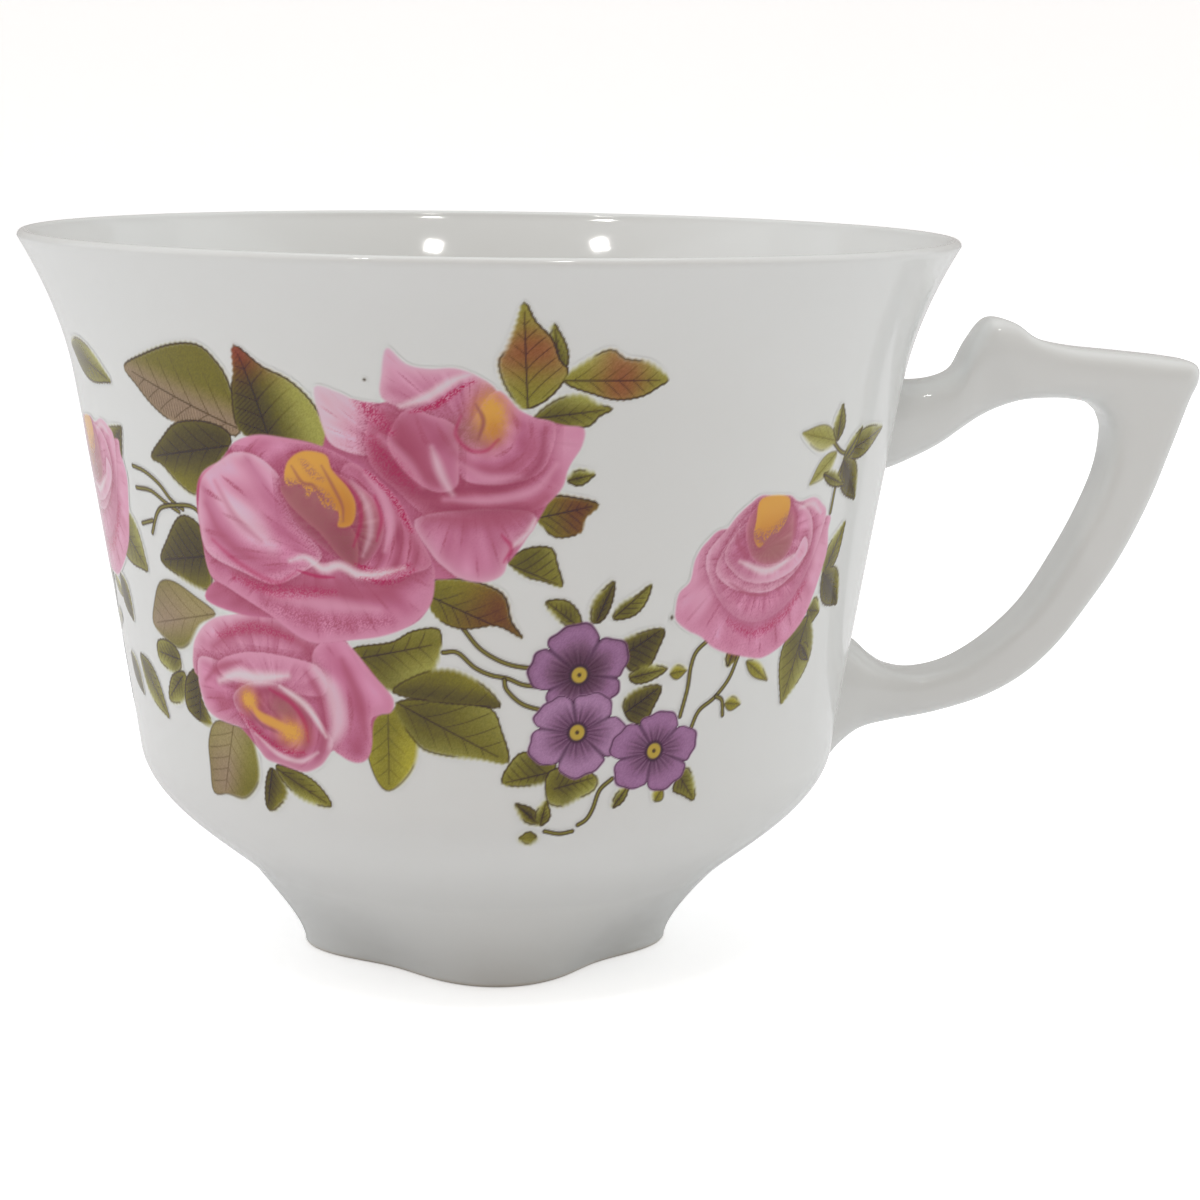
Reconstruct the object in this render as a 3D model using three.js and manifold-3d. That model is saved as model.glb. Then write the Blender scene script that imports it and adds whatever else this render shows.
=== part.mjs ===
// A glazed porcelain teacup with a lobed foot and an angular spurred handle.
// Millimetres, +Z up. The foot rests on z = 0, and the origin is under the middle of the cup and handle.
// The cup's own axis stands to the -X side of the origin, and the handle points along +X.
import * as THREE from "three";
import { mergeVertices } from "three/addons/utils/BufferGeometryUtils.js";
import Module from "manifold-3d";

// Bowl: outside radii and the heights they stand at.
const cupHeight = 70.2;
const rimRadius = 45;
const flareHeight = 13;
const neckRadius = 40;
const shoulderHeight = 20.5;
const shoulderRadius = 33.9;
const seatHeight = 9;
const seatRadius = 23.4;

// Bowl: walls.
const lipThickness = 1.2;
const wallThickness = 2.2;
const floorThickness = 2.8;

// Foot: a ring whose outline swells into lobes, strongest at the table and gone at the seat.
const lobeCount = 4;
const lobeSwell = 0.112;
const footRadius = 16.2;
const restWidth = 1.9;
const restEdge = 0.5;
const footWall = 3.6;
const footSlipGap = 0.3;

// Handle: its two roots sit on the wall, and every other point is measured from them.
const upperRootHeight = 50.5;
const upperRootSpan = 10.8;
const lowerRootHeight = 24.9;
const lowerRootSpan = 9.6;
const handleReach = 31.6;
const handleDepth = 7.5;
const handleEdge = 1;
const rootEmbed = 6;

// Slip: the clay paste that joins the handle and the foot to the bowl.
const slipThickness = 0.6;
const slipGap = 0.3;
const slipShare = 0.86;

// Printed transfers: films fired on the wall.
const transferThickness = 0.15;
const transferGap = 0.03;

// How finely curves are cut.
const turnSteps = 64;
const curveSteps = 5;
const lipSteps = 4;

const wasm = await Module();
wasm.setup();

// A closed three.js geometry as a solid that can be cut and joined.
function toSolid(geometry) {
  const bare = geometry.clone();
  bare.deleteAttribute("normal");
  bare.deleteAttribute("uv");
  const merged = mergeVertices(bare, 1e-4);
  return new wasm.Manifold(
    new wasm.Mesh({
      numProp: 3,
      vertProperties: new Float32Array(merged.attributes.position.array),
      triVerts: new Uint32Array(merged.index.array),
    }),
  );
}

function toGeometry(solid) {
  const mesh = solid.getMesh();
  const geometry = new THREE.BufferGeometry();
  geometry.setAttribute("position", new THREE.BufferAttribute(mesh.vertProperties, mesh.numProp));
  geometry.setIndex(new THREE.BufferAttribute(mesh.triVerts, 1));
  geometry.computeVertexNormals();
  return geometry;
}

// A profile of (radius, height) points turned about the Z axis.
function turned(profile) {
  const geometry = new THREE.LatheGeometry(profile, turnSteps);
  geometry.rotateX(Math.PI / 2);
  return geometry;
}

// The outside of the bowl's wall, from the seat up to the lip: shoulder, leaning wall and flare.
function wallCurve() {
  const neckHeight = cupHeight - flareHeight;
  const shoulderRise = shoulderHeight - seatHeight;
  const shoulderRun = shoulderRadius - seatRadius;
  const wallRise = neckHeight - shoulderHeight;
  const wallRun = neckRadius - shoulderRadius;
  const flareRun = rimRadius - neckRadius;
  const path = new THREE.Path();
  path.moveTo(seatRadius, seatHeight);
  path.bezierCurveTo(
    seatRadius + 0.32 * shoulderRun, seatHeight + 0.26 * shoulderRise,
    shoulderRadius - 0.08 * shoulderRun, shoulderHeight - 0.42 * shoulderRise,
    shoulderRadius, shoulderHeight,
  );
  path.bezierCurveTo(
    shoulderRadius + 0.18 * wallRun, shoulderHeight + 0.21 * wallRise,
    neckRadius - 0.34 * wallRun, neckHeight - 0.31 * wallRise,
    neckRadius, neckHeight,
  );
  path.bezierCurveTo(
    neckRadius + 0.18 * flareRun, neckHeight + 0.34 * flareHeight,
    rimRadius - 0.42 * flareRun, cupHeight - 0.3 * flareHeight,
    rimRadius, cupHeight - lipThickness / 2,
  );
  return path.getPoints(curveSteps);
}

const wall = wallCurve();

// The wall's outside radius at a height, read off the same points that the bowl is turned from.
function wallRadius(height) {
  const upper = Math.max(1, wall.findIndex((point) => point.y >= height));
  const low = wall[upper - 1];
  const high = wall[upper];
  return THREE.MathUtils.mapLinear(height, low.y, high.y, low.x, high.x);
}

// The part of the wall between two heights, moved outwards by an offset.
function wallBand(offset, lowest, highest) {
  const between = wall.filter((point) => point.y > lowest + 0.1 && point.y < highest - 0.1);
  const ends = [lowest, highest].map((height) => new THREE.Vector2(wallRadius(height), height));
  const band = [ends[0], ...between, ends[1]];
  return band.map((point) => new THREE.Vector2(point.x + offset, point.y));
}

function bowlGeometry() {
  const lipCentre = rimRadius - lipThickness / 2;
  const lip = new THREE.Path();
  lip.absarc(lipCentre, cupHeight - lipThickness / 2, lipThickness / 2, 0, Math.PI, false);
  // The inside follows the wall at a thickness that thins towards the lip.
  const inner = wall
    .filter((point) => point.y > shoulderHeight - 1 && point.y < cupHeight - 2)
    .map((point) => {
      const thinning = Math.max(0, (point.y - cupHeight + flareHeight) / flareHeight);
      const thickness = THREE.MathUtils.lerp(wallThickness, lipThickness, thinning);
      return new THREE.Vector2(point.x - thickness, point.y);
    })
    .reverse();
  const corner = inner.at(-1);
  const floorHeight = seatHeight + floorThickness;
  const floor = new THREE.Path();
  floor.moveTo(corner.x, corner.y);
  floor.bezierCurveTo(
    corner.x - 0.8, corner.y - 0.55 * (corner.y - floorHeight),
    seatRadius + 1.2, floorHeight + 0.4,
    seatRadius * 0.6, floorHeight,
  );
  const profile = [
    new THREE.Vector2(0, seatHeight),
    ...wall,
    ...lip.getPoints(lipSteps).slice(1),
    ...inner,
    ...floor.getPoints(curveSteps).slice(1),
    new THREE.Vector2(0, floorHeight),
  ];
  return turned(profile);
}

// The foot's outline at an angle and height, as a share of its mean radius there.
function lobeShare(angle, height) {
  const fade = Math.max(0, 1 - height / seatHeight);
  return 1 + lobeSwell * fade * Math.cos(lobeCount * angle);
}

function footGeometry() {
  const topHeight = seatHeight - footSlipGap;
  const rise = topHeight - restEdge;
  const run = seatRadius - footRadius;
  const innerRest = footRadius - restEdge - restWidth;
  const innerTop = seatRadius - footWall;
  const outside = new THREE.Path();
  outside.moveTo(footRadius - restEdge, 0);
  outside.quadraticCurveTo(footRadius, 0, footRadius, restEdge);
  outside.bezierCurveTo(
    footRadius + 0.12 * run, restEdge + 0.28 * rise,
    seatRadius - 0.4 * run, restEdge + 0.67 * rise,
    seatRadius, topHeight,
  );
  const inside = new THREE.Path();
  inside.moveTo(innerTop, topHeight);
  inside.bezierCurveTo(
    innerTop - 0.4 * run, restEdge + 0.6 * rise,
    innerRest - restEdge, restEdge + 0.3 * rise,
    innerRest - restEdge, restEdge,
  );
  inside.quadraticCurveTo(innerRest - restEdge, 0, innerRest, 0);
  const loop = [...outside.getPoints(curveSteps), ...inside.getPoints(curveSteps)];
  loop.push(loop[0].clone());
  const geometry = turned(loop);
  const place = geometry.attributes.position;
  for (let i = 0; i < place.count; i += 1) {
    const share = lobeShare(Math.atan2(place.getY(i), place.getX(i)), place.getZ(i));
    place.setXY(i, place.getX(i) * share, place.getY(i) * share);
  }
  return geometry;
}

// The thin ring of slip under the bowl's floor, which sticks the foot to it.
function footSlipGeometry() {
  const outer = seatRadius - slipGap * 2;
  const inner = seatRadius - footWall + slipGap * 2;
  const low = seatHeight - footSlipGap;
  return turned([
    new THREE.Vector2(inner, low),
    new THREE.Vector2(outer, low),
    new THREE.Vector2(outer, seatHeight),
    new THREE.Vector2(inner, seatHeight),
    new THREE.Vector2(inner, low),
  ]);
}

// Everything inside the wall, moved outwards by an offset, as one solid for cutting.
function wallSolid(offset) {
  const top = cupHeight - lipThickness / 2;
  const band = wallBand(offset, seatHeight, top);
  return toSolid(
    turned([new THREE.Vector2(0, seatHeight), ...band, new THREE.Vector2(0, top)]),
  );
}

// A thin skin that lies round the wall between two heights.
function wallSkin(gap, thickness, lowest, highest) {
  const outer = wallBand(gap + thickness, lowest, highest);
  const inner = wallBand(gap, lowest, highest).reverse();
  return toSolid(turned([...outer, ...inner, outer[0].clone()]));
}

// The handle's side outline: top arm with its thumb spur, outer corner, strap, lower arm, then back
// along the finger gap. Points are (out from the wall, up from the root) at the upper or lower root.
function handleOutline() {
  const upperWall = wallRadius(upperRootHeight);
  const lowerWall = wallRadius(lowerRootHeight);
  const up = (out, rise) => [upperWall + out, upperRootHeight + rise];
  const low = (out, rise) => [lowerWall + out, lowerRootHeight + rise];
  const upperHalf = upperRootSpan / 2;
  const lowerHalf = lowerRootSpan / 2;
  const corner = handleReach;
  const outline = new THREE.Shape();
  outline.moveTo(...up(-rootEmbed, upperHalf - 0.4));
  outline.lineTo(...up(4.9, upperHalf + 0.3));
  outline.quadraticCurveTo(...up(7.9, 6.6), ...up(8.6, 8.8));
  outline.quadraticCurveTo(...up(9.5, 12.1), ...up(11.6, 11.3));
  outline.quadraticCurveTo(...up(14.6, 9.3), ...up(17.4, 9));
  outline.lineTo(...up(corner - 3, 7.8));
  outline.quadraticCurveTo(...up(corner + 0.6, 7.4), ...up(corner - 0.2, 5.6));
  outline.bezierCurveTo(
    ...up(corner - 2.3, -1.2), ...up(corner - 5.4, -8), ...low(corner - 6.4, lowerHalf + 3.7),
  );
  outline.bezierCurveTo(
    ...low(corner - 10.1, 3), ...low(corner - 11.2, 1.4), ...low(corner - 16.5, -0.5),
  );
  outline.bezierCurveTo(...low(10, -2.6), ...low(6, -2.8), ...low(2.6, 1.2 - lowerHalf));
  outline.quadraticCurveTo(...low(0.6, 0.6 - lowerHalf), ...low(-rootEmbed, -lowerHalf));
  outline.lineTo(...low(-rootEmbed, lowerHalf));
  outline.lineTo(...low(2.6, lowerHalf));
  outline.quadraticCurveTo(...low(4.4, 2.2), ...low(8, 2.05));
  outline.bezierCurveTo(
    ...low(corner - 17.4, 2.3), ...low(corner - 13.2, 6.6), ...up(corner - 13.1, -11.8),
  );
  outline.bezierCurveTo(
    ...up(corner - 11, -7.6), ...up(corner - 9.3, -3.2), ...up(corner - 8.9, 0),
  );
  outline.quadraticCurveTo(...up(corner - 9, 3.7), ...up(corner - 13.6, 3.7));
  outline.lineTo(...up(13.4, 3.7));
  outline.bezierCurveTo(...up(10.2, 3), ...up(7.5, -0.4), ...up(4, -1.9));
  outline.quadraticCurveTo(...up(1.4, -2.9), ...up(1, -upperHalf - 0.4));
  outline.lineTo(...up(-rootEmbed, -upperHalf - 0.4));
  return outline;
}

function handleGeometry() {
  const strap = new THREE.ExtrudeGeometry(handleOutline(), {
    depth: handleDepth - 2 * handleEdge,
    curveSegments: curveSteps,
    bevelSize: handleEdge,
    bevelOffset: -handleEdge,
    bevelThickness: handleEdge,
    bevelSegments: 2,
  });
  strap.rotateX(Math.PI / 2);
  strap.translate(0, handleDepth / 2 - handleEdge, 0);
  return toGeometry(toSolid(strap).subtract(wallSolid(slipThickness + 2 * slipGap)));
}

// A pad of slip between the wall and one root of the handle, a little smaller than the root.
function slipPadGeometry(rootHeight, rootSpan) {
  const reach = 2 * rootEmbed;
  const plug = new THREE.CylinderGeometry(0.5, 0.5, reach, 20);
  plug.rotateZ(Math.PI / 2);
  plug.scale(1, slipShare * handleDepth, slipShare * rootSpan);
  plug.translate(wallRadius(rootHeight), 0, rootHeight);
  const skin = wallSkin(slipGap, slipThickness, rootHeight - rootSpan, rootHeight + rootSpan);
  return toGeometry(toSolid(plug).intersect(skin));
}

// The band of wall that may be printed on, clear of the seat's hollow and of the lip.
const printLow = seatHeight + 6;
const printHigh = cupHeight - 2.2;

// The outlines of the two printed sprays, as [degrees from the middle, share of the way up the band].
const frontSpray = {
  middle: -90,
  outline: [
    [-61, 0.78], [-40, 0.93], [-20, 0.92], [-6, 1], [8, 0.96], [24, 0.89], [30, 0.74], [36, 0.79],
    [64, 0.81], [66, 0.66], [60, 0.47], [50, 0.23], [26, 0.11], [6, 0.01], [-8, 0.13],
    [-28, 0.06], [-52, 0.04], [-60, 0.47],
  ],
};
const backSpray = {
  middle: 148,
  outline: [
    [52, 0.89], [36, 0.85], [14, 0.92], [-10, 0.85], [-36, 0.92], [-58, 0.77], [-60, 0.36],
    [-44, 0.13], [-18, 0.04], [6, 0], [30, 0.09], [50, 0.21],
  ],
};

// A printed film: the part of a wall skin that lies behind a spray's outline.
function transferGeometry({ middle, outline }) {
  const flat = outline.map(([angle, share]) => {
    const height = THREE.MathUtils.lerp(printLow, printHigh, share);
    const across = wallRadius(height) * Math.sin(THREE.MathUtils.degToRad(angle));
    return new THREE.Vector2(across, height);
  });
  const skin = wallSkin(transferGap, transferThickness, printLow - 1, printHigh + 1);
  const cutter = new THREE.ExtrudeGeometry(new THREE.Shape(flat), {
    depth: 2 * rimRadius,
    bevelEnabled: false,
  });
  cutter.rotateX(Math.PI / 2);
  cutter.rotateZ(THREE.MathUtils.degToRad(middle + 90));
  return toGeometry(toSolid(cutter).intersect(skin));
}

const porcelain = { color: 0xe6e5e1, roughness: 0.12, metalness: 0 };
const slip = { color: 0xdedcd6, roughness: 0.35, metalness: 0 };
const enamel = { color: 0xc9809f, roughness: 0.2, metalness: 0 };

const cup = new THREE.Group();

function addPiece(name, geometry, finish) {
  const mesh = new THREE.Mesh(geometry, new THREE.MeshStandardMaterial(finish));
  mesh.name = name;
  cup.add(mesh);
}

addPiece("bowl", bowlGeometry(), porcelain);
addPiece("foot", footGeometry(), porcelain);
addPiece("foot_slip_joint", footSlipGeometry(), slip);
addPiece("handle", handleGeometry(), porcelain);
addPiece("upper_slip_joint", slipPadGeometry(upperRootHeight, upperRootSpan), slip);
addPiece("lower_slip_joint", slipPadGeometry(lowerRootHeight, lowerRootSpan), slip);
addPiece("front_spray_transfer", transferGeometry(frontSpray), enamel);
addPiece("back_spray_transfer", transferGeometry(backSpray), enamel);

// The origin goes under the middle of the whole footprint, from the bowl's far side to the handle.
const span = new THREE.Box3().setFromObject(cup, true);
cup.position.x = -(span.min.x + span.max.x) / 2;

const teacup = new THREE.Group();
teacup.add(cup);

export default teacup;
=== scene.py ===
# A glazed porcelain teacup with a lobed foot, a spurred handle and fired flower transfers.
# Shapes are worked out in millimetres about the cup's own axis, then placed in the frame in metres.
import math
import bpy
import mathutils
import numpy as np
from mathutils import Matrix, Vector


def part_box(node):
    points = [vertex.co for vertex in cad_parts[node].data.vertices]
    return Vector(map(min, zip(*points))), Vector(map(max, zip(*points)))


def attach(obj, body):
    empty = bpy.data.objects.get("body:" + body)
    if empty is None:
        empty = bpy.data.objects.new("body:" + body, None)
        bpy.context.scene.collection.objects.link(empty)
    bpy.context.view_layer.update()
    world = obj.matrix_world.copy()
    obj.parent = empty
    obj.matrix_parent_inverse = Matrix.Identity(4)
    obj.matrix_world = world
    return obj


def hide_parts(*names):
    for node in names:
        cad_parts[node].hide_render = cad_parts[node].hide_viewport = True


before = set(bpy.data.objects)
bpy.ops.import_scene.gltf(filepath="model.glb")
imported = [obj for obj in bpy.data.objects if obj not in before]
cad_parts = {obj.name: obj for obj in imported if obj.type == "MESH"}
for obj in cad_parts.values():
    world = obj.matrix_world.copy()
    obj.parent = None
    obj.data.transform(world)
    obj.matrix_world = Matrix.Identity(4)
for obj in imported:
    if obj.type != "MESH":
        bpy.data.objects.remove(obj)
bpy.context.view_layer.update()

mm = 0.001
bowlLow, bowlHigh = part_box("bowl")
footLow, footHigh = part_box("foot")
axisX = (bowlLow[0] + bowlHigh[0]) / 2              # the cup's own axis stands here
rimRadius = (bowlHigh[0] - bowlLow[0]) / 2 / mm
cupHeight = bowlHigh[2] / mm
seatHeight = bowlLow[2] / mm
seatOverhang = 0.1                # mm that the foot's box stands out past the seat
seatRadius = (footHigh[0] - footLow[0]) / 2 / mm - seatOverhang


# Puts points (mm, about the cup's axis) into the frame as one smooth mesh. Faces are whole arrays,
# one row of vertex numbers per face, quads and triangles apart.
def addPiece(name, points, faces, material, replaced=(), paint=None):
    placed = np.asarray(points, float) * mm + np.array([axisX, 0.0, 0.0])
    sizes = np.concatenate([np.full(len(f), f.shape[1]) for f in faces]).astype(np.int32)
    corners = np.concatenate([f.ravel() for f in faces]).astype(np.int32)
    mesh = bpy.data.meshes.new(name)
    mesh.vertices.add(len(placed))
    mesh.vertices.foreach_set("co", placed.ravel())
    mesh.loops.add(len(corners))
    mesh.loops.foreach_set("vertex_index", corners)
    mesh.polygons.add(len(sizes))
    mesh.polygons.foreach_set("loop_start", np.cumsum(sizes) - sizes)
    mesh.polygons.foreach_set("use_smooth", np.ones(len(sizes), bool))
    mesh.update(calc_edges=True)
    for title, values in (paint or {}).items():
        layer = mesh.attributes.new(title, "FLOAT_COLOR", "POINT")
        layer.data.foreach_set("color", values.astype(np.float32).ravel())
    piece = bpy.data.objects.new(name, mesh)
    bpy.context.scene.collection.objects.link(piece)
    mesh.materials.append(material)
    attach(piece, "root")
    if replaced:
        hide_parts(*replaced)
    return piece


# A grid of rows and columns closed round its columns, with a point at each end to close the poles.
def tubeFaces(rows, columns):
    row, column = np.meshgrid(np.arange(rows - 1), np.arange(columns), indexing="ij")
    after = (column + 1) % columns
    quads = np.stack([row * columns + column, row * columns + after,
                      (row + 1) * columns + after, (row + 1) * columns + column], -1)
    ring = np.arange(columns)
    turn = (ring + 1) % columns
    first, last = rows * columns, rows * columns + 1
    foot = np.stack([np.full(columns, first), turn, ring], -1)
    cap = np.stack([np.full(columns, last), (rows - 1) * columns + ring,
                    (rows - 1) * columns + turn], -1)
    return [quads.reshape(-1, 4), np.concatenate([foot, cap])]


# Cubic Bezier: four points weighted by (1-t)^3, 3t(1-t)^2, 3t^2(1-t) and t^3.
def bezier(points, count):
    t = np.linspace(0, 1, count)[:, None]
    a, b, c, d = (np.array(p, float) for p in points)
    return (1 - t) ** 3 * a + 3 * t * (1 - t) ** 2 * b + 3 * t * t * (1 - t) * c + t ** 3 * d


# Catmull-Rom: a curve through every point, whose slope at each is half the step between its
# neighbours. A closed curve joins its last point to its first.
def smoothThrough(points, steps, closed=False):
    p = np.array(points, float)
    if closed:
        p = np.vstack([p[-1:], p, p[:2]])
    else:
        p = np.vstack([2 * p[:1] - p[1:2], p, 2 * p[-1:] - p[-2:-1]])
    t = (np.arange(steps) / steps)[None, :, None]
    a, b, c, d = p[:-3, None], p[1:-2, None], p[2:-1, None], p[3:, None]
    curve = 0.5 * (2 * b + (c - a) * t + (2 * a - 5 * b + 4 * c - d) * t ** 2
                   + (3 * b - a - 3 * c + d) * t ** 3)
    curve = curve.reshape(-1, p.shape[1])
    return curve if closed else np.vstack([curve, p[-2]])


body = {
    "flareHeight": 13.0,
    "neckRadius": 40.0,
    "shoulderHeight": 20.5,
    "shoulderRadius": 33.9,
    "lipThickness": 1.2,
    "wallThickness": 2.2,
    "floorThickness": 2.8,
    "footRadius": 16.2,
    "restWidth": 1.9,
    "restEdge": 0.5,
    "footWall": 3.6,
    "lobeCount": 4,
    "lobeSwell": 0.112,
    "columns": 288,
    "rows": 26,
}


# Outside of the wall from the seat to the lip: shoulder, leaning wall and flare, end to end.
def wallCurve(count):
    b = body
    neckHeight = cupHeight - b["flareHeight"]
    rise, run = b["shoulderHeight"] - seatHeight, b["shoulderRadius"] - seatRadius
    lean, climb = b["neckRadius"] - b["shoulderRadius"], neckHeight - b["shoulderHeight"]
    flare = rimRadius - b["neckRadius"]
    shoulder = (b["shoulderRadius"], b["shoulderHeight"])
    neck = (b["neckRadius"], neckHeight)
    lip = (rimRadius, cupHeight - b["lipThickness"] / 2)
    parts = [
        bezier([(seatRadius, seatHeight), (seatRadius + 0.32 * run, seatHeight + 0.26 * rise),
                (shoulder[0] - 0.08 * run, shoulder[1] - 0.42 * rise), shoulder], count),
        bezier([shoulder, (shoulder[0] + 0.18 * lean, shoulder[1] + 0.21 * climb),
                (neck[0] - 0.34 * lean, neck[1] - 0.31 * climb), neck], count),
        bezier([neck, (neck[0] + 0.18 * flare, neck[1] + 0.34 * b["flareHeight"]),
                (lip[0] - 0.42 * flare, lip[1] - 0.27 * b["flareHeight"]), lip], count),
    ]
    return np.vstack([parts[0], parts[1][1:], parts[2][1:]])


wallFine = wallCurve(400)


# Radius of the wall's outside at a height, read off the fine curve.
def wallRadius(height):
    return np.interp(height, wallFine[:, 1], wallFine[:, 0])


# The share by which the foot's outline swells or shrinks at an angle: a cosine of lobeCount turns,
# full at the table and fading to nothing at the seat.
def lobeShare(angle, height):
    fade = np.clip(1 - height / seatHeight, 0, 1)
    return 1 + body["lobeSwell"] * fade * np.cos(body["lobeCount"] * angle)


# The whole section as (radius, height), from the middle of the recess underneath, down inside the
# foot, round its rest, up the outside, over the lip and down to the middle of the cup's floor.
def bodySection():
    b = body
    n = b["rows"]
    innerRest = b["footRadius"] - b["restEdge"] - b["restWidth"]
    innerTop = seatRadius - b["footWall"]
    run = seatRadius - b["footRadius"]
    ceiling = bezier([(0.4, seatHeight - 0.5), (innerTop * 0.5, seatHeight - 0.5),
                      (innerTop * 0.8, seatHeight - 0.1), (innerTop - 1.4, seatHeight - 0.6)], n)
    inside = bezier([(innerTop - 1.4, seatHeight - 0.6), (innerTop - 0.2, seatHeight - 1.2),
                     (innerRest + 0.4, seatHeight * 0.45), (innerRest - b["restEdge"], b["restEdge"])], n)
    innerEdge = bezier([(innerRest - b["restEdge"], b["restEdge"]),
                        (innerRest - b["restEdge"], b["restEdge"] * 0.45),
                        (innerRest - b["restEdge"] * 0.55, 0), (innerRest, 0)], 6)
    flat = np.linspace((innerRest, 0.0), (b["footRadius"] - b["restEdge"], 0.0), 5)
    outerEdge = bezier([(b["footRadius"] - b["restEdge"], 0),
                        (b["footRadius"] - b["restEdge"] * 0.45, 0),
                        (b["footRadius"], b["restEdge"] * 0.45), (b["footRadius"], b["restEdge"])], 6)
    skirt = bezier([(b["footRadius"], b["restEdge"]),
                    (b["footRadius"] + 0.12 * run, b["restEdge"] + 0.27 * seatHeight),
                    (seatRadius - 0.42 * run, seatHeight * 0.66), (seatRadius, seatHeight)], n)
    wall = wallCurve(n)
    lipAngle = np.linspace(0, np.pi, 12)[1:-1]
    half = b["lipThickness"] / 2
    lip = np.stack([rimRadius - half + half * np.cos(lipAngle),
                    cupHeight - half + half * np.sin(lipAngle)], -1)
    upper = wall[wall[:, 1] > b["shoulderHeight"] - 1][::-1]
    thinning = np.clip((upper[:, 1] - cupHeight + b["flareHeight"]) / b["flareHeight"], 0, 1)
    thickness = b["wallThickness"] + (b["lipThickness"] - b["wallThickness"]) * thinning
    inner = np.stack([upper[:, 0] - thickness, upper[:, 1]], -1)
    corner = inner[-1]
    floorHeight = seatHeight + b["floorThickness"]
    floor = bezier([corner, (corner[0] - 0.9, corner[1] - 0.55 * (corner[1] - floorHeight)),
                    (seatRadius + 1.2, floorHeight + 0.3), (seatRadius * 0.55, floorHeight)], n)
    middle = np.linspace((seatRadius * 0.55, floorHeight), (0.4, floorHeight), 10)
    parts = [ceiling, inside[1:], innerEdge[1:], flat[1:], outerEdge[1:], skirt[1:], wall[1:],
             lip, inner, floor[1:], middle[1:]]
    return np.vstack(parts)


# The section turned about the axis, each ring scaled by the lobes' share at its height.
def bodySurface():
    section = bodySection()
    angle = np.arange(body["columns"]) * 2 * np.pi / body["columns"]
    height = np.repeat(section[:, 1:2], len(angle), 1)
    radius = section[:, 0:1] * lobeShare(angle[None, :], height)
    grid = np.stack([radius * np.cos(angle), radius * np.sin(angle), height], -1)
    poles = [[0, 0, section[0, 1]], [0, 0, section[-1, 1]]]
    return np.vstack([grid.reshape(-1, 3), poles]), tubeFaces(len(section), len(angle))


# Each row pairs a point on the outer outline with the one across the strap on the inner outline,
# as (out, up, out, up, depth, squareness), from inside the wall at the upper root to the lower one.
handle = {
    "rows": [
        (38.4, 56.6, 36.3, 47.0, 9.2, 2.4),
        (40.6, 56.0, 38.9, 47.2, 8.5, 2.6),
        (43.6, 56.2, 42.0, 48.5, 7.9, 2.8),
        (46.0, 57.3, 44.4, 49.8, 7.6, 3.0),
        (47.5, 60.1, 46.4, 51.2, 7.4, 3.2),
        (49.2, 62.1, 48.2, 52.4, 7.2, 3.4),
        (51.6, 61.7, 49.9, 53.3, 7.3, 3.8),
        (53.9, 60.2, 52.2, 54.1, 7.5, 4.6),
        (57.4, 59.4, 55.0, 54.3, 7.5, 3.6),
        (62.5, 58.9, 57.4, 54.2, 7.5, 3.4),
        (67.2, 58.4, 59.3, 53.8, 7.5, 3.4),
        (69.9, 57.8, 60.4, 53.1, 7.5, 4.4),
        (70.3, 56.3, 61.0, 52.3, 7.5, 4.4),
        (69.4, 54.2, 61.4, 50.6, 7.5, 4.4),
        (67.7, 49.5, 60.9, 46.9, 7.5, 4.4),
        (65.7, 44.2, 59.3, 42.8, 7.5, 4.4),
        (62.9, 38.5, 57.0, 38.4, 7.5, 4.4),
        (59.6, 33.5, 54.1, 33.8, 7.5, 4.4),
        (56.5, 29.6, 51.2, 30.7, 7.5, 5.4),
        (53.3, 26.6, 48.2, 28.6, 7.5, 4.4),
        (49.4, 24.4, 45.4, 27.4, 7.5, 3.6),
        (44.4, 22.8, 42.4, 27.0, 7.5, 3.0),
        (40.2, 22.0, 39.9, 27.5, 7.7, 2.8),
        (37.2, 21.2, 38.1, 28.6, 8.4, 2.5),
        (35.2, 19.7, 36.4, 30.1, 9.2, 2.3),
        (33.4, 17.6, 34.0, 31.6, 10.0, 2.3),
    ],
    "steps": 10,
    "columns": 64,
}


# A section carried between the two outlines: at angle a, the middle of the pair, plus half the
# pair times |cos a|^(2/n), plus half the depth sideways times |sin a|^(2/n), each with its sign.
def handleSurface():
    rows = smoothThrough(handle["rows"], handle["steps"])
    angle = np.arange(handle["columns"]) * 2 * np.pi / handle["columns"]
    power = 2 / rows[:, 5:6]
    across = np.sign(np.cos(angle)) * np.abs(np.cos(angle)) ** power
    sideways = np.sign(np.sin(angle)) * np.abs(np.sin(angle)) ** power
    outer, inner = rows[:, None, 0:2], rows[:, None, 2:4]
    flat = (outer + inner) / 2 + (outer - inner) / 2 * across[..., None]
    aside = rows[:, 4:5] / 2 * sideways
    grid = np.stack([flat[..., 0], aside, flat[..., 1]], -1)
    ends = grid[[0, -1]].mean(1)
    return np.vstack([grid.reshape(-1, 3), ends]), tubeFaces(len(rows), len(angle))


# Wraps a socket so that + - * / on it add Math nodes.
class Value:
    def __init__(self, make, socket):
        self.make, self.socket = make, socket

    def join(self, operation, left, right):
        return self.make.add("ShaderNodeMath", {"operation": operation}, {0: left, 1: right}).out()

    def __add__(self, other):
        return self.join("ADD", self, other)

    def __radd__(self, other):
        return self.join("ADD", other, self)

    def __sub__(self, other):
        return self.join("SUBTRACT", self, other)

    def __rsub__(self, other):
        return self.join("SUBTRACT", other, self)

    def __mul__(self, other):
        return self.join("MULTIPLY", self, other)

    def __rmul__(self, other):
        return self.join("MULTIPLY", other, self)

    def __truediv__(self, other):
        return self.join("DIVIDE", self, other)

    def __rtruediv__(self, other):
        return self.join("DIVIDE", other, self)


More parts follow.
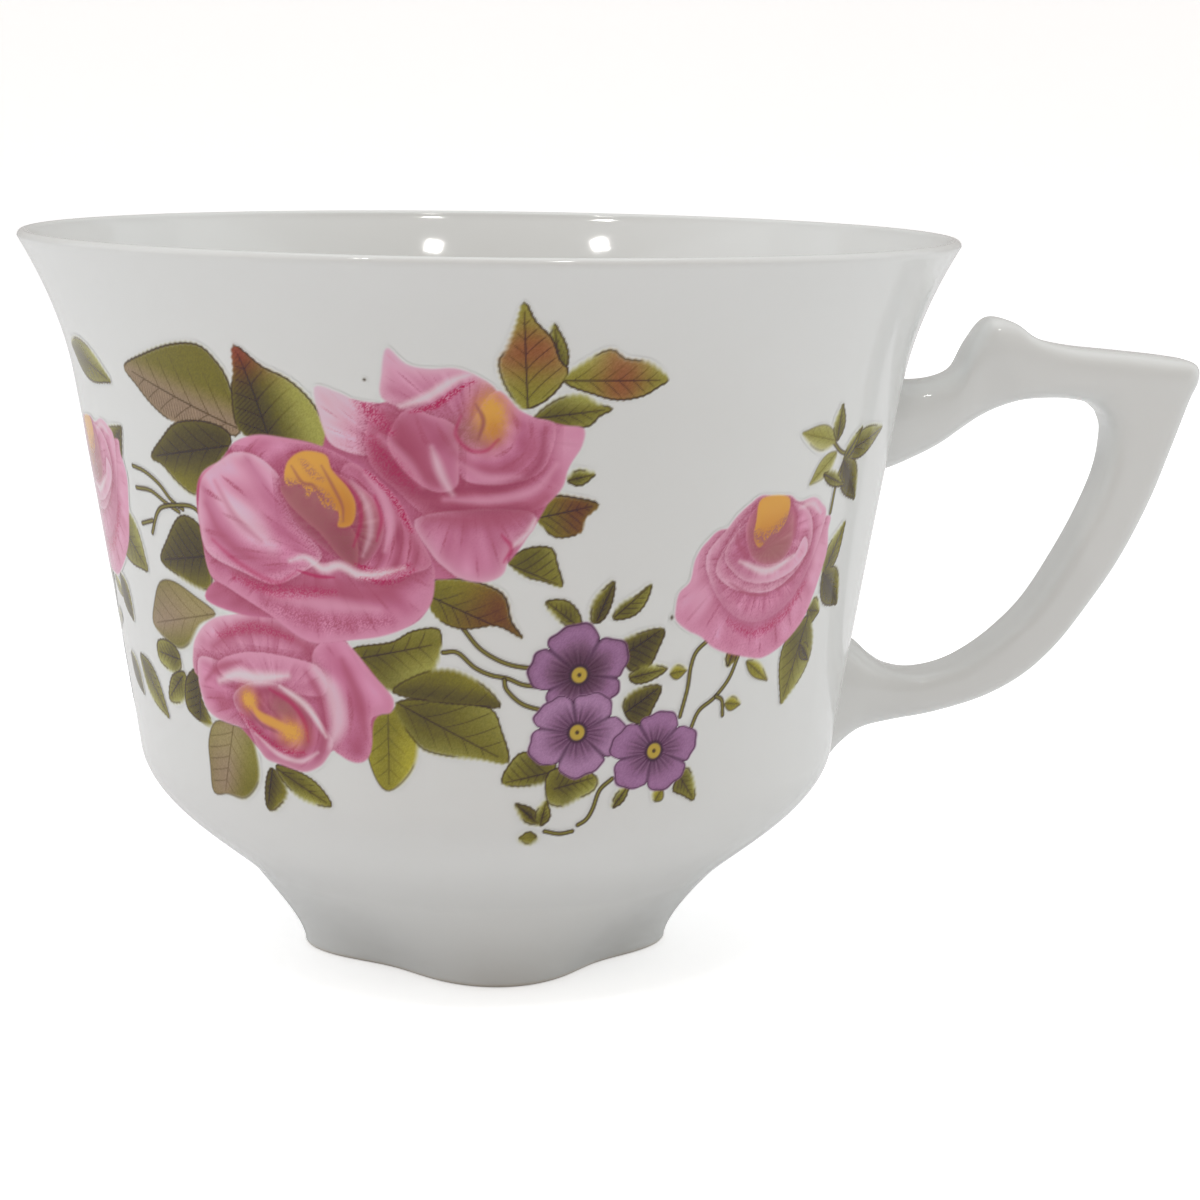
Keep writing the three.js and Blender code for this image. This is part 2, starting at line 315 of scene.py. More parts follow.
# A placed node, whose out gives one of its sockets wrapped.
class Node:
    def __init__(self, make, node):
        self.make, self.node = make, node

    def out(self, name=0):
        return Value(self.make, self.node.outputs[name])


# The node tree of a material or of the world. add takes a node's type, its settings, and what its
# sockets get.
class Maker:
    def __init__(self, owner):
        self.owner = owner
        self.owner.use_nodes = True
        self.tree = self.owner.node_tree
        self.tree.nodes.clear()

    def add(self, kind, settings=None, inputs=None):
        node = self.tree.nodes.new(kind)
        for key, value in (settings or {}).items():
            setattr(node, key, value)
        for key, value in (inputs or {}).items():
            if isinstance(value, Value):
                self.tree.links.new(value.socket, node.inputs[key])
            else:
                node.inputs[key].default_value = value
        return Node(self, node)

    def mix(self, share, first, second, blend="MIX"):
        settings = {"data_type": "RGBA", "blend_type": blend}
        return self.add("ShaderNodeMix", settings, {0: share, 6: first, 7: second}).out(2)

    def finish(self, surface, output="ShaderNodeOutputMaterial"):
        self.add(output, {}, {"Surface": surface.out()})
        return self.owner


glaze = {
    "colour": (0.83, 0.84, 0.835, 1),
    "pool": (0.77, 0.79, 0.78, 1),
    "roughness": 0.07,
    "ripple": 0.012,
    "refraction": 1.5,
    "driftScale": 38.0,
    "drift": 0.5,
    "rippleScale": 130.0,
    "grainScale": 900.0,
    "grain": 0.08,
    "bareColour": (0.72, 0.69, 0.64, 1),
    "bareRoughness": 0.55,
    "bareBelow": 0.0002,       # m; under this the foot's rest is unglazed clay
    "glazedAbove": 0.0005,
}


# A noise pattern between 0 and 1, with so many swings to the metre and so many finer layers.
def noise(make, place, scale, detail):
    inputs = {"Vector": place, "Scale": scale, "Detail": detail}
    return make.add("ShaderNodeTexNoise", {}, inputs).out("Fac")


# Clear glaze over white porcelain: a slow noise drifts the colour part of the way to the pooled tint.
def porcelainColour(make, place):
    return make.mix(noise(make, place, glaze["driftScale"], 2.0) * glaze["drift"],
                    glaze["colour"], glaze["pool"])


# The glaze's surface: a slow ripple plus a small share of fine grain, as a bump.
def glazeNormal(make, place):
    ripple = noise(make, place, glaze["rippleScale"], 1.0)
    height = ripple + noise(make, place, glaze["grainScale"], 2.0) * glaze["grain"]
    bump = make.add("ShaderNodeBump", {}, {"Height": height, "Strength": glaze["ripple"], "Distance": mm})
    return bump.out("Normal")


# Glaze everywhere but on the rest, where a smoothstep of height gives way to bare, rougher clay.
def porcelainMaterial():
    make = Maker(bpy.data.materials.new("glazed_porcelain"))
    place = make.add("ShaderNodeTexCoord").out("Object")
    height = make.add("ShaderNodeSeparateXYZ", {}, {0: place}).out("Z")
    bare = make.add("ShaderNodeMapRange", {"interpolation_type": "SMOOTHSTEP"},
                    {0: height, 1: glaze["bareBelow"], 2: glaze["glazedAbove"], 3: 1.0, 4: 0.0}).out()
    colour = make.mix(bare, porcelainColour(make, place), glaze["bareColour"])
    roughness = glaze["roughness"] + bare * glaze["bareRoughness"]
    surface = make.add("ShaderNodeBsdfPrincipled", {}, {
        "Base Color": colour, "Roughness": roughness, "Normal": glazeNormal(make, place),
        "IOR": glaze["refraction"]})
    return make.finish(surface)


transfer = {
    "lift": 0.03,             # mm off the wall
    "step": 0.11,             # mm between painted places
    "unroll": 37.5,           # mm of the flat drawing to a radian round the wall
    "shown": 0.004,           # cover below this is left out
    "cuts": (-48.0, -17.0, 5.0, 44.0),
    "veil": 0.035,            # light the glaze's own shine adds to every colour
}


# Fired colour under the same glaze: the porcelain's white times what the painted ink lets through.
def transferMaterial():
    make = Maker(bpy.data.materials.new("fired_transfer"))
    place = make.add("ShaderNodeTexCoord").out("Object")
    painted = make.add("ShaderNodeAttribute", {"attribute_name": "paint"}).out("Color")
    colour = make.mix(1.0, porcelainColour(make, place), painted, "MULTIPLY")
    surface = make.add("ShaderNodeBsdfPrincipled", {}, {
        "Base Color": colour, "Roughness": glaze["roughness"], "Normal": glazeNormal(make, place),
        "IOR": glaze["refraction"]})
    return make.finish(surface)


# Display colour to linear light: a straight toe, then a power of 2.4.
def linear(colour):
    return np.where(colour < 0.04045, colour / 12.92, ((colour + 0.055) / 1.055) ** 2.4)


# Bends the painted places of a sheet round the wall. Each keeps the share of the white it lets
# through; empty quads are dropped and the rest go into pieces by strips of u.
def bendSheet(sheet, names, turn, material, replaced):
    veil = transfer["veil"]
    cuts = transfer["cuts"]
    bright = linear(ink["white"])
    share = np.clip((linear(sheet.colour) - veil) / (bright - veil), 0.0, 1.0)
    angle = sheet.u / transfer["unroll"] + math.radians(turn)
    radius = wallRadius(sheet.v) + transfer["lift"]
    points = np.stack([radius * np.sin(angle), -radius * np.cos(angle), sheet.v], -1).reshape(-1, 3)
    number = np.arange(sheet.u.size).reshape(sheet.u.shape)
    shown = sheet.cover > transfer["shown"]
    used = shown[:-1, :-1] | shown[1:, :-1] | shown[:-1, 1:] | shown[1:, 1:]
    quads = np.stack([number[:-1, :-1], number[:-1, 1:], number[1:, 1:], number[1:, :-1]], -1)
    along = sheet.u[:-1, :-1]
    for name, low, high in zip(names, cuts[:-1], cuts[1:]):
        chosen = quads[used & (along >= low) & (along < high)]
        kept, renamed = np.unique(chosen, return_inverse=True)
        paint = np.ones((len(kept), 4))
        paint[:, :3] = share.reshape(-1, 3)[kept]
        piece = addPiece(name, points[kept], [renamed.reshape(-1, 4)], material, replaced, {"paint": paint})
        print(name, len(chosen), "quads")


# The sheet of transfer colour: a grid of places on the unrolled wall, u along and v up, in mm.
# lay mixes a colour over what is there by a share; cover remembers where anything was laid.
class Sheet:
    def __init__(self, low, high, step, seed):
        across = np.arange(low[0], high[0], step)
        upward = np.arange(low[1], high[1], step)
        self.u, self.v = np.meshgrid(across, upward)
        self.low, self.step = low, step
        self.colour = np.ones(self.u.shape + (3,)) * ink["white"]
        self.cover = np.zeros(self.u.shape)
        self.grain = np.random.default_rng(seed).random(self.u.shape)
        self.move = np.zeros(2)
        self.tilt = 0.0

    def at(self, points):
        p = np.asarray(points, float)
        moved = p[..., :2] + self.move
        lift = self.tilt * p[..., 0]
        return np.stack([moved[..., 0], moved[..., 1] + lift], -1)

    def near(self, points, pad):
        low = np.floor((points.min(0) - pad - self.low) / self.step).astype(int)
        high = np.ceil((points.max(0) + pad - self.low) / self.step).astype(int)
        low, high = np.maximum(low, 0), np.maximum(high, 1)
        return slice(low[1], high[1]), slice(low[0], high[0])

    def lay(self, where, colour, share):
        share = np.clip(share, 0, 1)
        self.colour[where] += (colour - self.colour[where]) * share[..., None]
        self.cover[where] = 1 - (1 - self.cover[where]) * (1 - share)


# Smoothstep: 3 x squared less 2 x cubed, flat below 0 and above 1.
def soften(x):
    x = np.clip(x, 0, 1)
    return x * x * (3 - 2 * x)


# Distance from each place to a run of points, how far along the run the nearest point lies (0 to 1)
# and, for a closed loop, whether a line to the right crosses it an odd number of times.
def measure(u, v, run, closed):
    a = run if closed else run[:-1]
    b = np.roll(run, -1, 0) if closed else run[1:]
    edge = b - a
    length = np.maximum(np.hypot(edge[:, 0], edge[:, 1]), 1e-9)
    du, dv = u[..., None] - a[:, 0], v[..., None] - a[:, 1]
    t = np.clip((du * edge[:, 0] + dv * edge[:, 1]) / length ** 2, 0, 1)
    gap = np.hypot(du - t * edge[:, 0], dv - t * edge[:, 1])
    nearest = gap.argmin(-1)
    shortest = np.take_along_axis(gap, nearest[..., None], -1)[..., 0]
    if closed:
        spans = (a[:, 1] > v[..., None]) != (b[:, 1] > v[..., None])
        rise = np.where(np.abs(edge[:, 1]) < 1e-9, 1e-9, edge[:, 1])
        crossed = spans & (du < edge[:, 0] * dv / rise)
        return shortest, crossed.sum(-1) % 2 == 1
    walked = np.cumsum(length) - length
    on = np.take_along_axis(t, nearest[..., None], -1)[..., 0]
    return shortest, (walked[nearest] + on * length[nearest]) / length.sum()


# Distance inside a closed loop, less than nothing outside it.
def depthIn(sheet, where, loop):
    gap, inside = measure(sheet.u[where], sheet.v[where], loop, True)
    return np.where(inside, gap, -gap)


# Moves a colour towards another by a share between 0 and 1.
def towards(tone, other, share):
    return tone + (other - tone) * np.clip(share, 0, 1)[..., None]


# Streaks that run out from a point: sines of the angle, bent a little with the distance. Rings
# add a sine of the distance, bent with the angle.
def fanStreaks(sheet, where, middle, count, rings=0.0):
    du, dv = sheet.u[where] - middle[0], sheet.v[where] - middle[1]
    angle, away = np.arctan2(dv, du), np.hypot(du, dv)
    wave = np.sin(count * angle + 0.5 * away) + 0.7 * np.sin(1.73 * count * angle - 0.8 * away + 1.3)
    if rings:
        bent = rings * away + 1.4 * np.sin(2 * angle + 0.6) + 0.3 * count * angle
        wave = 0.25 * wave + 1.5 * np.sin(bent)
    return wave + 0.5 * np.sin(2.9 * count * angle + 0.3 * away + 0.4)


petalLook = {
    "shadow": 0.5,             # how dark a petal's shadow is on the petals under it
    "shadowReach": 0.55,       # mm over which it fades
    "rim": 0.62,
    "streak": 0.035,
    "streakInks": (0.6, 1.3, 1.1),
    "hair": 0.38,
    "stipple": 0.34,
    "edge": 0.28,              # mm over which a petal's edge softens
}


# A petal: its colour, darker towards one side, a paler or darker rim just inside its edge, and
# streaks that run out from a point. Gives back its depths, for what lies on it.
def petal(sheet, row, clip):
    look = petalLook
    _, colour, shade, side, rim, rimWidth, streaks, points = row
    loop = sheet.at(smoothThrough(points, 5, True))
    where = sheet.near(loop, 0.6)
    depth, grain = depthIn(sheet, where, loop), sheet.grain[where]
    beneath = look["shadow"] * np.exp(np.clip(depth, None, 0) / look["shadowReach"]) * clip[where]
    sheet.lay(where, ink["roseDark"], np.where(depth < 0, beneath, 0) * (0.6 + 0.8 * grain))
    middle, size = loop.mean(0), np.ptp(loop, axis=0).max() / 2
    lean = ((sheet.u[where] - middle[0]) * side[0] + (sheet.v[where] - middle[1]) * side[1]) / size
    tone = towards(ink[colour], ink[shade], soften(0.5 + 0.6 * lean))
    edge = np.exp(-np.clip(depth, 0, None) / max(rimWidth, 0.05)) * (rimWidth > 0)
    tone = towards(tone, ink[rim], look["rim"] * edge)
    if streaks:
        start = sheet.at(streaks[:2])
        wave = fanStreaks(sheet, where, start, *streaks[2:3], *streaks[4:])
        fade = soften(depth / 1.2) * streaks[3]
        tone = tone * (1 - look["streak"] * (wave * fade)[..., None] * np.array(look["streakInks"]))
        fineCount = streaks[2] * (2.6 if len(streaks) == 4 else 0.5)
        fine = fanStreaks(sheet, where, start, fineCount, *(2.1 * ring for ring in streaks[4:]))
        hair = soften(fine - 0.9) * fade * (0.4 + 0.9 * grain)
        tone = towards(tone, ink["roseDeep"], look["hair"] * hair)
    stipple = look["stipple"] * soften(3 * grain - 1.7) * soften(0.35 + 0.6 * lean) * (rimWidth > 0.3)
    tone = towards(tone, ink["roseDeep"], stipple)
    sheet.lay(where, tone, soften((depth + look["edge"] / 2) / look["edge"]))
    return where, depth


# A stroke: full width in the middle, thinning at both ends, with soft sides. Dotted strokes are
# broken up by the sheet's grain.
def stroke(sheet, row, clip):
    kind, colour, strength, width, softness, points = row
    run = sheet.at(smoothThrough(points, 6))
    where = sheet.near(run, width + softness)
    gap, along = measure(sheet.u[where], sheet.v[where], run, False)
    half = width / 2 * np.sqrt(np.clip(np.sin(np.pi * np.clip(along, 0.04, 0.96)), 0, 1))
    share = strength * soften((half + softness / 2 - gap) / softness)
    if kind == "dots":
        share = share * np.clip(2.2 * sheet.grain[where] - 0.35, 0, 1.25)
    sheet.lay(where, ink[colour], share * clip[where])


# A soft spot: strength times exp of minus the squared distance over the squared radii.
def dab(sheet, row, clip=None):
    _, colour, strength, radii, place = row
    middle = sheet.at(place)
    where = sheet.near(middle[None, :], 2.2 * max(radii))
    du, dv = (sheet.u[where] - middle[0]) / radii[0], (sheet.v[where] - middle[1]) / radii[1]
    share = strength * np.exp(-(du * du + dv * dv))
    share = share * (0.75 + 0.5 * sheet.grain[where])
    if clip is not None:
        share = share * clip[where]
    sheet.lay(where, ink[colour], np.where(share < 0.02, 0, share))


# A rose, row by row from the back petals to the front. Later marks keep to the petals so far.
def paintRose(sheet, rows):
    clip = np.zeros(sheet.u.shape)
    for row in rows:
        if row[0] == "petal":
            where, depth = petal(sheet, row, clip)
            clip[where] = np.maximum(clip[where], soften((depth + 0.1) / 0.3))
        elif row[0] == "dab":
            dab(sheet, row, clip)
        else:
            stroke(sheet, row, clip)


# The outline of a leaf of which only base, tip and width are given: its half width is the sine of
# pi times the share along it to the power 0.8, so it is fuller towards the base.
def leafLoop(base, tip, width):
    base, tip = np.array(base, float), np.array(tip, float)
    t = np.linspace(0, 1, 9)
    half = width / 2 * np.sin(np.pi * t ** 0.8)
    along = tip - base
    aside = np.array([-along[1], along[0]]) / np.hypot(*along)
    left = base + along * t[:, None] + aside * half[:, None]
    right = base + along * t[:, None] - aside * half[:, None]
    return np.vstack([left, right[-2:0:-1]])


leafLook = {
    "rimFade": 0.35,           # mm over which the pale rim fades inwards
    "rimLight": 1.12,
    "lineWidth": 0.13,         # mm, for the rib and the veins
    "hatchStep": 0.36,
    "grain": 0.12,
    "toothLength": 0.55,       # mm from one tooth of the edge to the next
    "toothDepth": 0.10,
    "outline": 0.16,
}


# A leaf: t runs from base to tip and s across it. It is deep along the rib and lighter towards the
# edge, more so on one side; veins are thin lines where t less a share of |s| comes round to a step.
def leaf(sheet, kind, base, tip, points, width=0.0):
    look = leafLook | leafKinds[kind]
    if width:
        points = leafLoop(base, tip, width)
    loop = sheet.at(smoothThrough(points, 4, True))
    root, end = sheet.at(base), sheet.at(tip)
    where = sheet.near(loop, 0.5)
    depth = depthIn(sheet, where, loop)
    along = end - root
    length = np.hypot(*along)
    du, dv = sheet.u[where] - root[0], sheet.v[where] - root[1]
    t = (du * along[0] + dv * along[1]) / length ** 2
    s = (dv * along[0] - du * along[1]) / length
    half = max(np.abs(((loop - root) @ np.array([-along[1], along[0]])) / length).max(), 0.3)
    across = s / half
    deep, light, tint = (ink[name] for name in look["inks"])
    leaning = look["side"] * across
    share = 0.12 + 0.75 * np.abs(across) ** 1.1 + 0.55 * look["split"] * leaning + 0.18 * (t - 0.4)
    tone = towards(deep, light, soften(share))
    tone = towards(tone, tint, np.exp(-((t - look["tintAt"]) / look["tintSize"]) ** 2) * look["tint"])
    rim = np.exp(-np.clip(depth, 0, None) / look["rimFade"]) * look["rim"]
    tone = towards(tone, light * look["rimLight"], rim)
    wave = np.abs((t - (0.38 - 0.1 * t) * np.abs(across) ** 0.85) * look["veins"] % 1 - 0.5)
    vein = soften(1 - wave * length / look["veins"] / look["lineWidth"])
    vein = vein * soften(depth / 0.5) * (t > 0.08) * (t < 0.9)
    rib = soften(1 - np.abs(s) / look["lineWidth"]) * (t > 0) * (t < 0.92)
    lines = np.maximum(0.6 * vein * soften(0.9 - leaning), 0.8 * rib * soften(1.5 - t)) * look["pen"]
    if look["hatch"]:
        hatch = soften(1 - np.abs((t * length + 0.5 * s) / look["hatchStep"] % 1 - 0.5) * 3.2)
        lines = np.maximum(lines, 0.4 * hatch * soften(depth / 0.4) * soften(0.4 - leaning * 2))
    tone = towards(tone, ink["pen"], lines)
    speck = (sheet.grain[where] - 0.5) * look["grain"]
    tone = tone * (1 + speck[..., None])
    tooth = np.abs(2 * (t * length / look["toothLength"] % 1) - 1)
    saw = look["toothDepth"] * tooth * look["saw"]
    blur = 0.26 + 0.4 * soften(2 * leaning)
    sheet.lay(where, tone, soften((depth + saw) / blur + 0.5))
    line = soften(1 - np.abs(depth + saw * 0.5) / look["outline"])
    broken = soften(0.5 + 2 * np.sin(7 * t + 2 * length)) * 0.75
    drawn = np.maximum(soften(look["penSide"] * across * 4 + 0.5), broken)
    sheet.lay(where, ink["pen"], 0.95 * line * drawn * look["pen"])


stemLook = {
    "width": 0.44,
    "penOut": 0.08,            # mm that the pen line stands outside the stem's width
    "greenIn": 0.06,
}


# A stem: a wide dark line with a narrower green one over it, which leaves two pen lines.
def stem(sheet, points):
    look = stemLook
    run = sheet.at(smoothThrough(points, 6))
    where = sheet.near(run, look["width"])
    gap, _ = measure(sheet.u[where], sheet.v[where], run, False)
    half = look["width"] / 2
    sheet.lay(where, ink["pen"], 0.85 * soften((half + look["penOut"] - gap) / 0.14))
    sheet.lay(where, ink["stem"], 0.95 * soften((half - look["greenIn"] - gap) / 0.12))


violetLook = {
    "core": 0.72,              # the edge's least share of the radius, between two petals
    "swell": 0.28,
    "grain": 0.10,
    "ring": 1.15,              # mm, radii of the dark ring, the yellow eye and its pip
    "eye": 0.82,
    "pip": 0.26,
}


# A violet: five petals whose edge swells with |cos(2.5 a)|, dark lines from the middle fading
# outwards, dark gaps between petals, a thin outline and a ringed yellow eye.
def violet(sheet, place, radii, turn, skew, inks):
    look = violetLook
    middle = sheet.at(place)
    where = sheet.near(middle[None, :], max(radii) * 1.3)
    du, dv = (sheet.u[where] - middle[0]) / radii[0], (sheet.v[where] - middle[1]) / radii[1]
    angle, away = np.arctan2(dv, du) - turn, np.hypot(du, dv)
    lobe = np.abs(np.cos(2.5 * angle))
    edge = look["core"] + look["swell"] * lobe ** 0.5
    edge = edge + 0.03 * np.sin(7 * angle + 2 * turn) + 0.015 * np.sin(16 * angle)
    edge = edge * (1 + skew * np.sin(angle + turn))
    share = away / edge
    deep, light = ink[inks[0]], ink[inks[1]]
    tone = towards(deep, light, soften(1.5 * share - 0.35))
    tone = towards(tone, deep, 0.55 * soften(share * 3 - 2.3))
    ray = np.clip(0.5 + 0.35 * np.sin(23 * angle) + 0.25 * np.sin(37 * angle + 1), 0, 1)
    tone = towards(tone, ink["violetDark"], ray * soften(1.15 - 1.5 * away) * 0.85)
    tone = towards(tone, ink["violetDark"], soften(1 - lobe * 3.6) * soften(share * 1.5) * 0.55)
    tone = tone * (1 + ((sheet.grain[where] - 0.5) * look["grain"])[..., None])
    size = max(radii)
    sheet.lay(where, tone, soften((1 - share) * size / 0.25 + 0.5))
    line = soften(1 - np.abs(share - 0.97) * size / 0.14)
    sheet.lay(where, ink["violetDark"], 0.75 * line)
    eye = np.hypot(sheet.u[where] - middle[0], sheet.v[where] - middle[1])
    sheet.lay(where, ink["violetDark"], 0.85 * soften((look["ring"] - eye) / 0.3))
    sheet.lay(where, ink["eye"], soften((look["eye"] - eye) / 0.2))
    sheet.lay(where, ink["pen"], 0.8 * soften((look["pip"] - eye) / 0.14))


# Red, green and blue out of 255, as shares of one.
def rgb(*parts):
    return np.array(parts, float) / 255


# Colours as they show on the fired ware under plain light.
ink = {
    "white": rgb(206, 205, 205),
    "rose": rgb(196, 124, 155), "roseLight": rgb(208, 150, 175), "rosePale": rgb(212, 178, 192),
    "roseMid": rgb(178, 104, 133), "roseDeep": rgb(160, 80, 104), "roseDark": rgb(144, 64, 88),
    "roseWarm": rgb(176, 112, 122), "crimson": rgb(166, 42, 82), "lip": rgb(219, 200, 206),
    "amber": rgb(206, 152, 78), "amberDeep": rgb(186, 124, 62), "mauve": rgb(155, 99, 102),
    "mauveDeep": rgb(138, 78, 88),
    "olive": rgb(112, 104, 50), "oliveDark": rgb(76, 68, 38), "oliveLight": rgb(154, 150, 82),
    "lime": rgb(162, 152, 62), "moss": rgb(130, 122, 56), "leafMauve": rgb(146, 124, 106),
    "leafRed": rgb(136, 62, 58), "brown": rgb(104, 62, 38),
    "pen": rgb(50, 37, 22), "stem": rgb(128, 120, 66), "fade": rgb(176, 170, 128),
    "violetDark": rgb(66, 44, 62), "violetDeep": rgb(96, 66, 84), "violetMid": rgb(126, 88, 118),
    "violet": rgb(152, 110, 148), "violetLight": rgb(164, 124, 160), "eye": rgb(176, 150, 70),
}

# Side +1 puts the light half on the left of base to tip, and penSide likewise for the pen outline.
commonLeaf = {
    "side": 1, "split": 0.6, "tint": 0.35, "tintAt": 0.3, "tintSize": 0.3, "rim": 0.2, "veins": 6,
    "pen": 0.9, "hatch": 0, "saw": 1, "penSide": -1,
}

leafKinds = {name: commonLeaf | own for name, own in {
    "green": {"inks": ("olive", "oliveLight", "oliveDark"), "tint": 0.5, "tintAt": 0.25, "rim": 0.25,
              "pen": 0.8},
    "greenTurned": {"inks": ("olive", "oliveLight", "oliveDark"), "side": -1, "tint": 0.5,
                    "tintAt": 0.25, "rim": 0.25, "pen": 0.8, "penSide": 1},
    "dark": {"inks": ("oliveDark", "moss", "oliveDark"), "tint": 0.4, "tintSize": 0.4, "rim": 0.3,
             "pen": 0.8},
    "twoTone": {"inks": ("leafMauve", "olive", "oliveDark"), "side": -1, "split": 2.0, "tint": 0.0,
                "tintAt": 0.9, "rim": 0.12, "veins": 7, "hatch": 1},
    "redTip": {"inks": ("oliveDark", "oliveLight", "leafRed"), "side": -1, "tint": 0.9, "tintAt": 1.0,
               "tintSize": 0.27, "rim": 0.15, "hatch": 1},
    "redHeart": {"inks": ("moss", "oliveLight", "leafRed"), "tint": 0.62, "tintAt": 0.55,
                 "tintSize": 0.24, "rim": 0.3, "veins": 7},
    "mauve": {"inks": ("leafMauve", "olive", "oliveLight"), "tintAt": 0.2, "pen": 0.5, "saw": 0},
    "lime": {"inks": ("moss", "lime", "olive"), "tintAt": 0.15, "tintSize": 0.25, "veins": 5,
             "pen": 0.55, "saw": 0},
    "brown": {"inks": ("olive", "moss", "brown"), "tint": 0.85, "tintAt": 0.72, "tintSize": 0.36,
              "rim": 0.25, "veins": 7, "penSide": 1},
    "pale": {"inks": ("moss", "fade", "oliveLight"), "tint": 0.5, "tintSize": 0.5, "veins": 4,
             "pen": 0.35, "saw": 0},
}.items()}

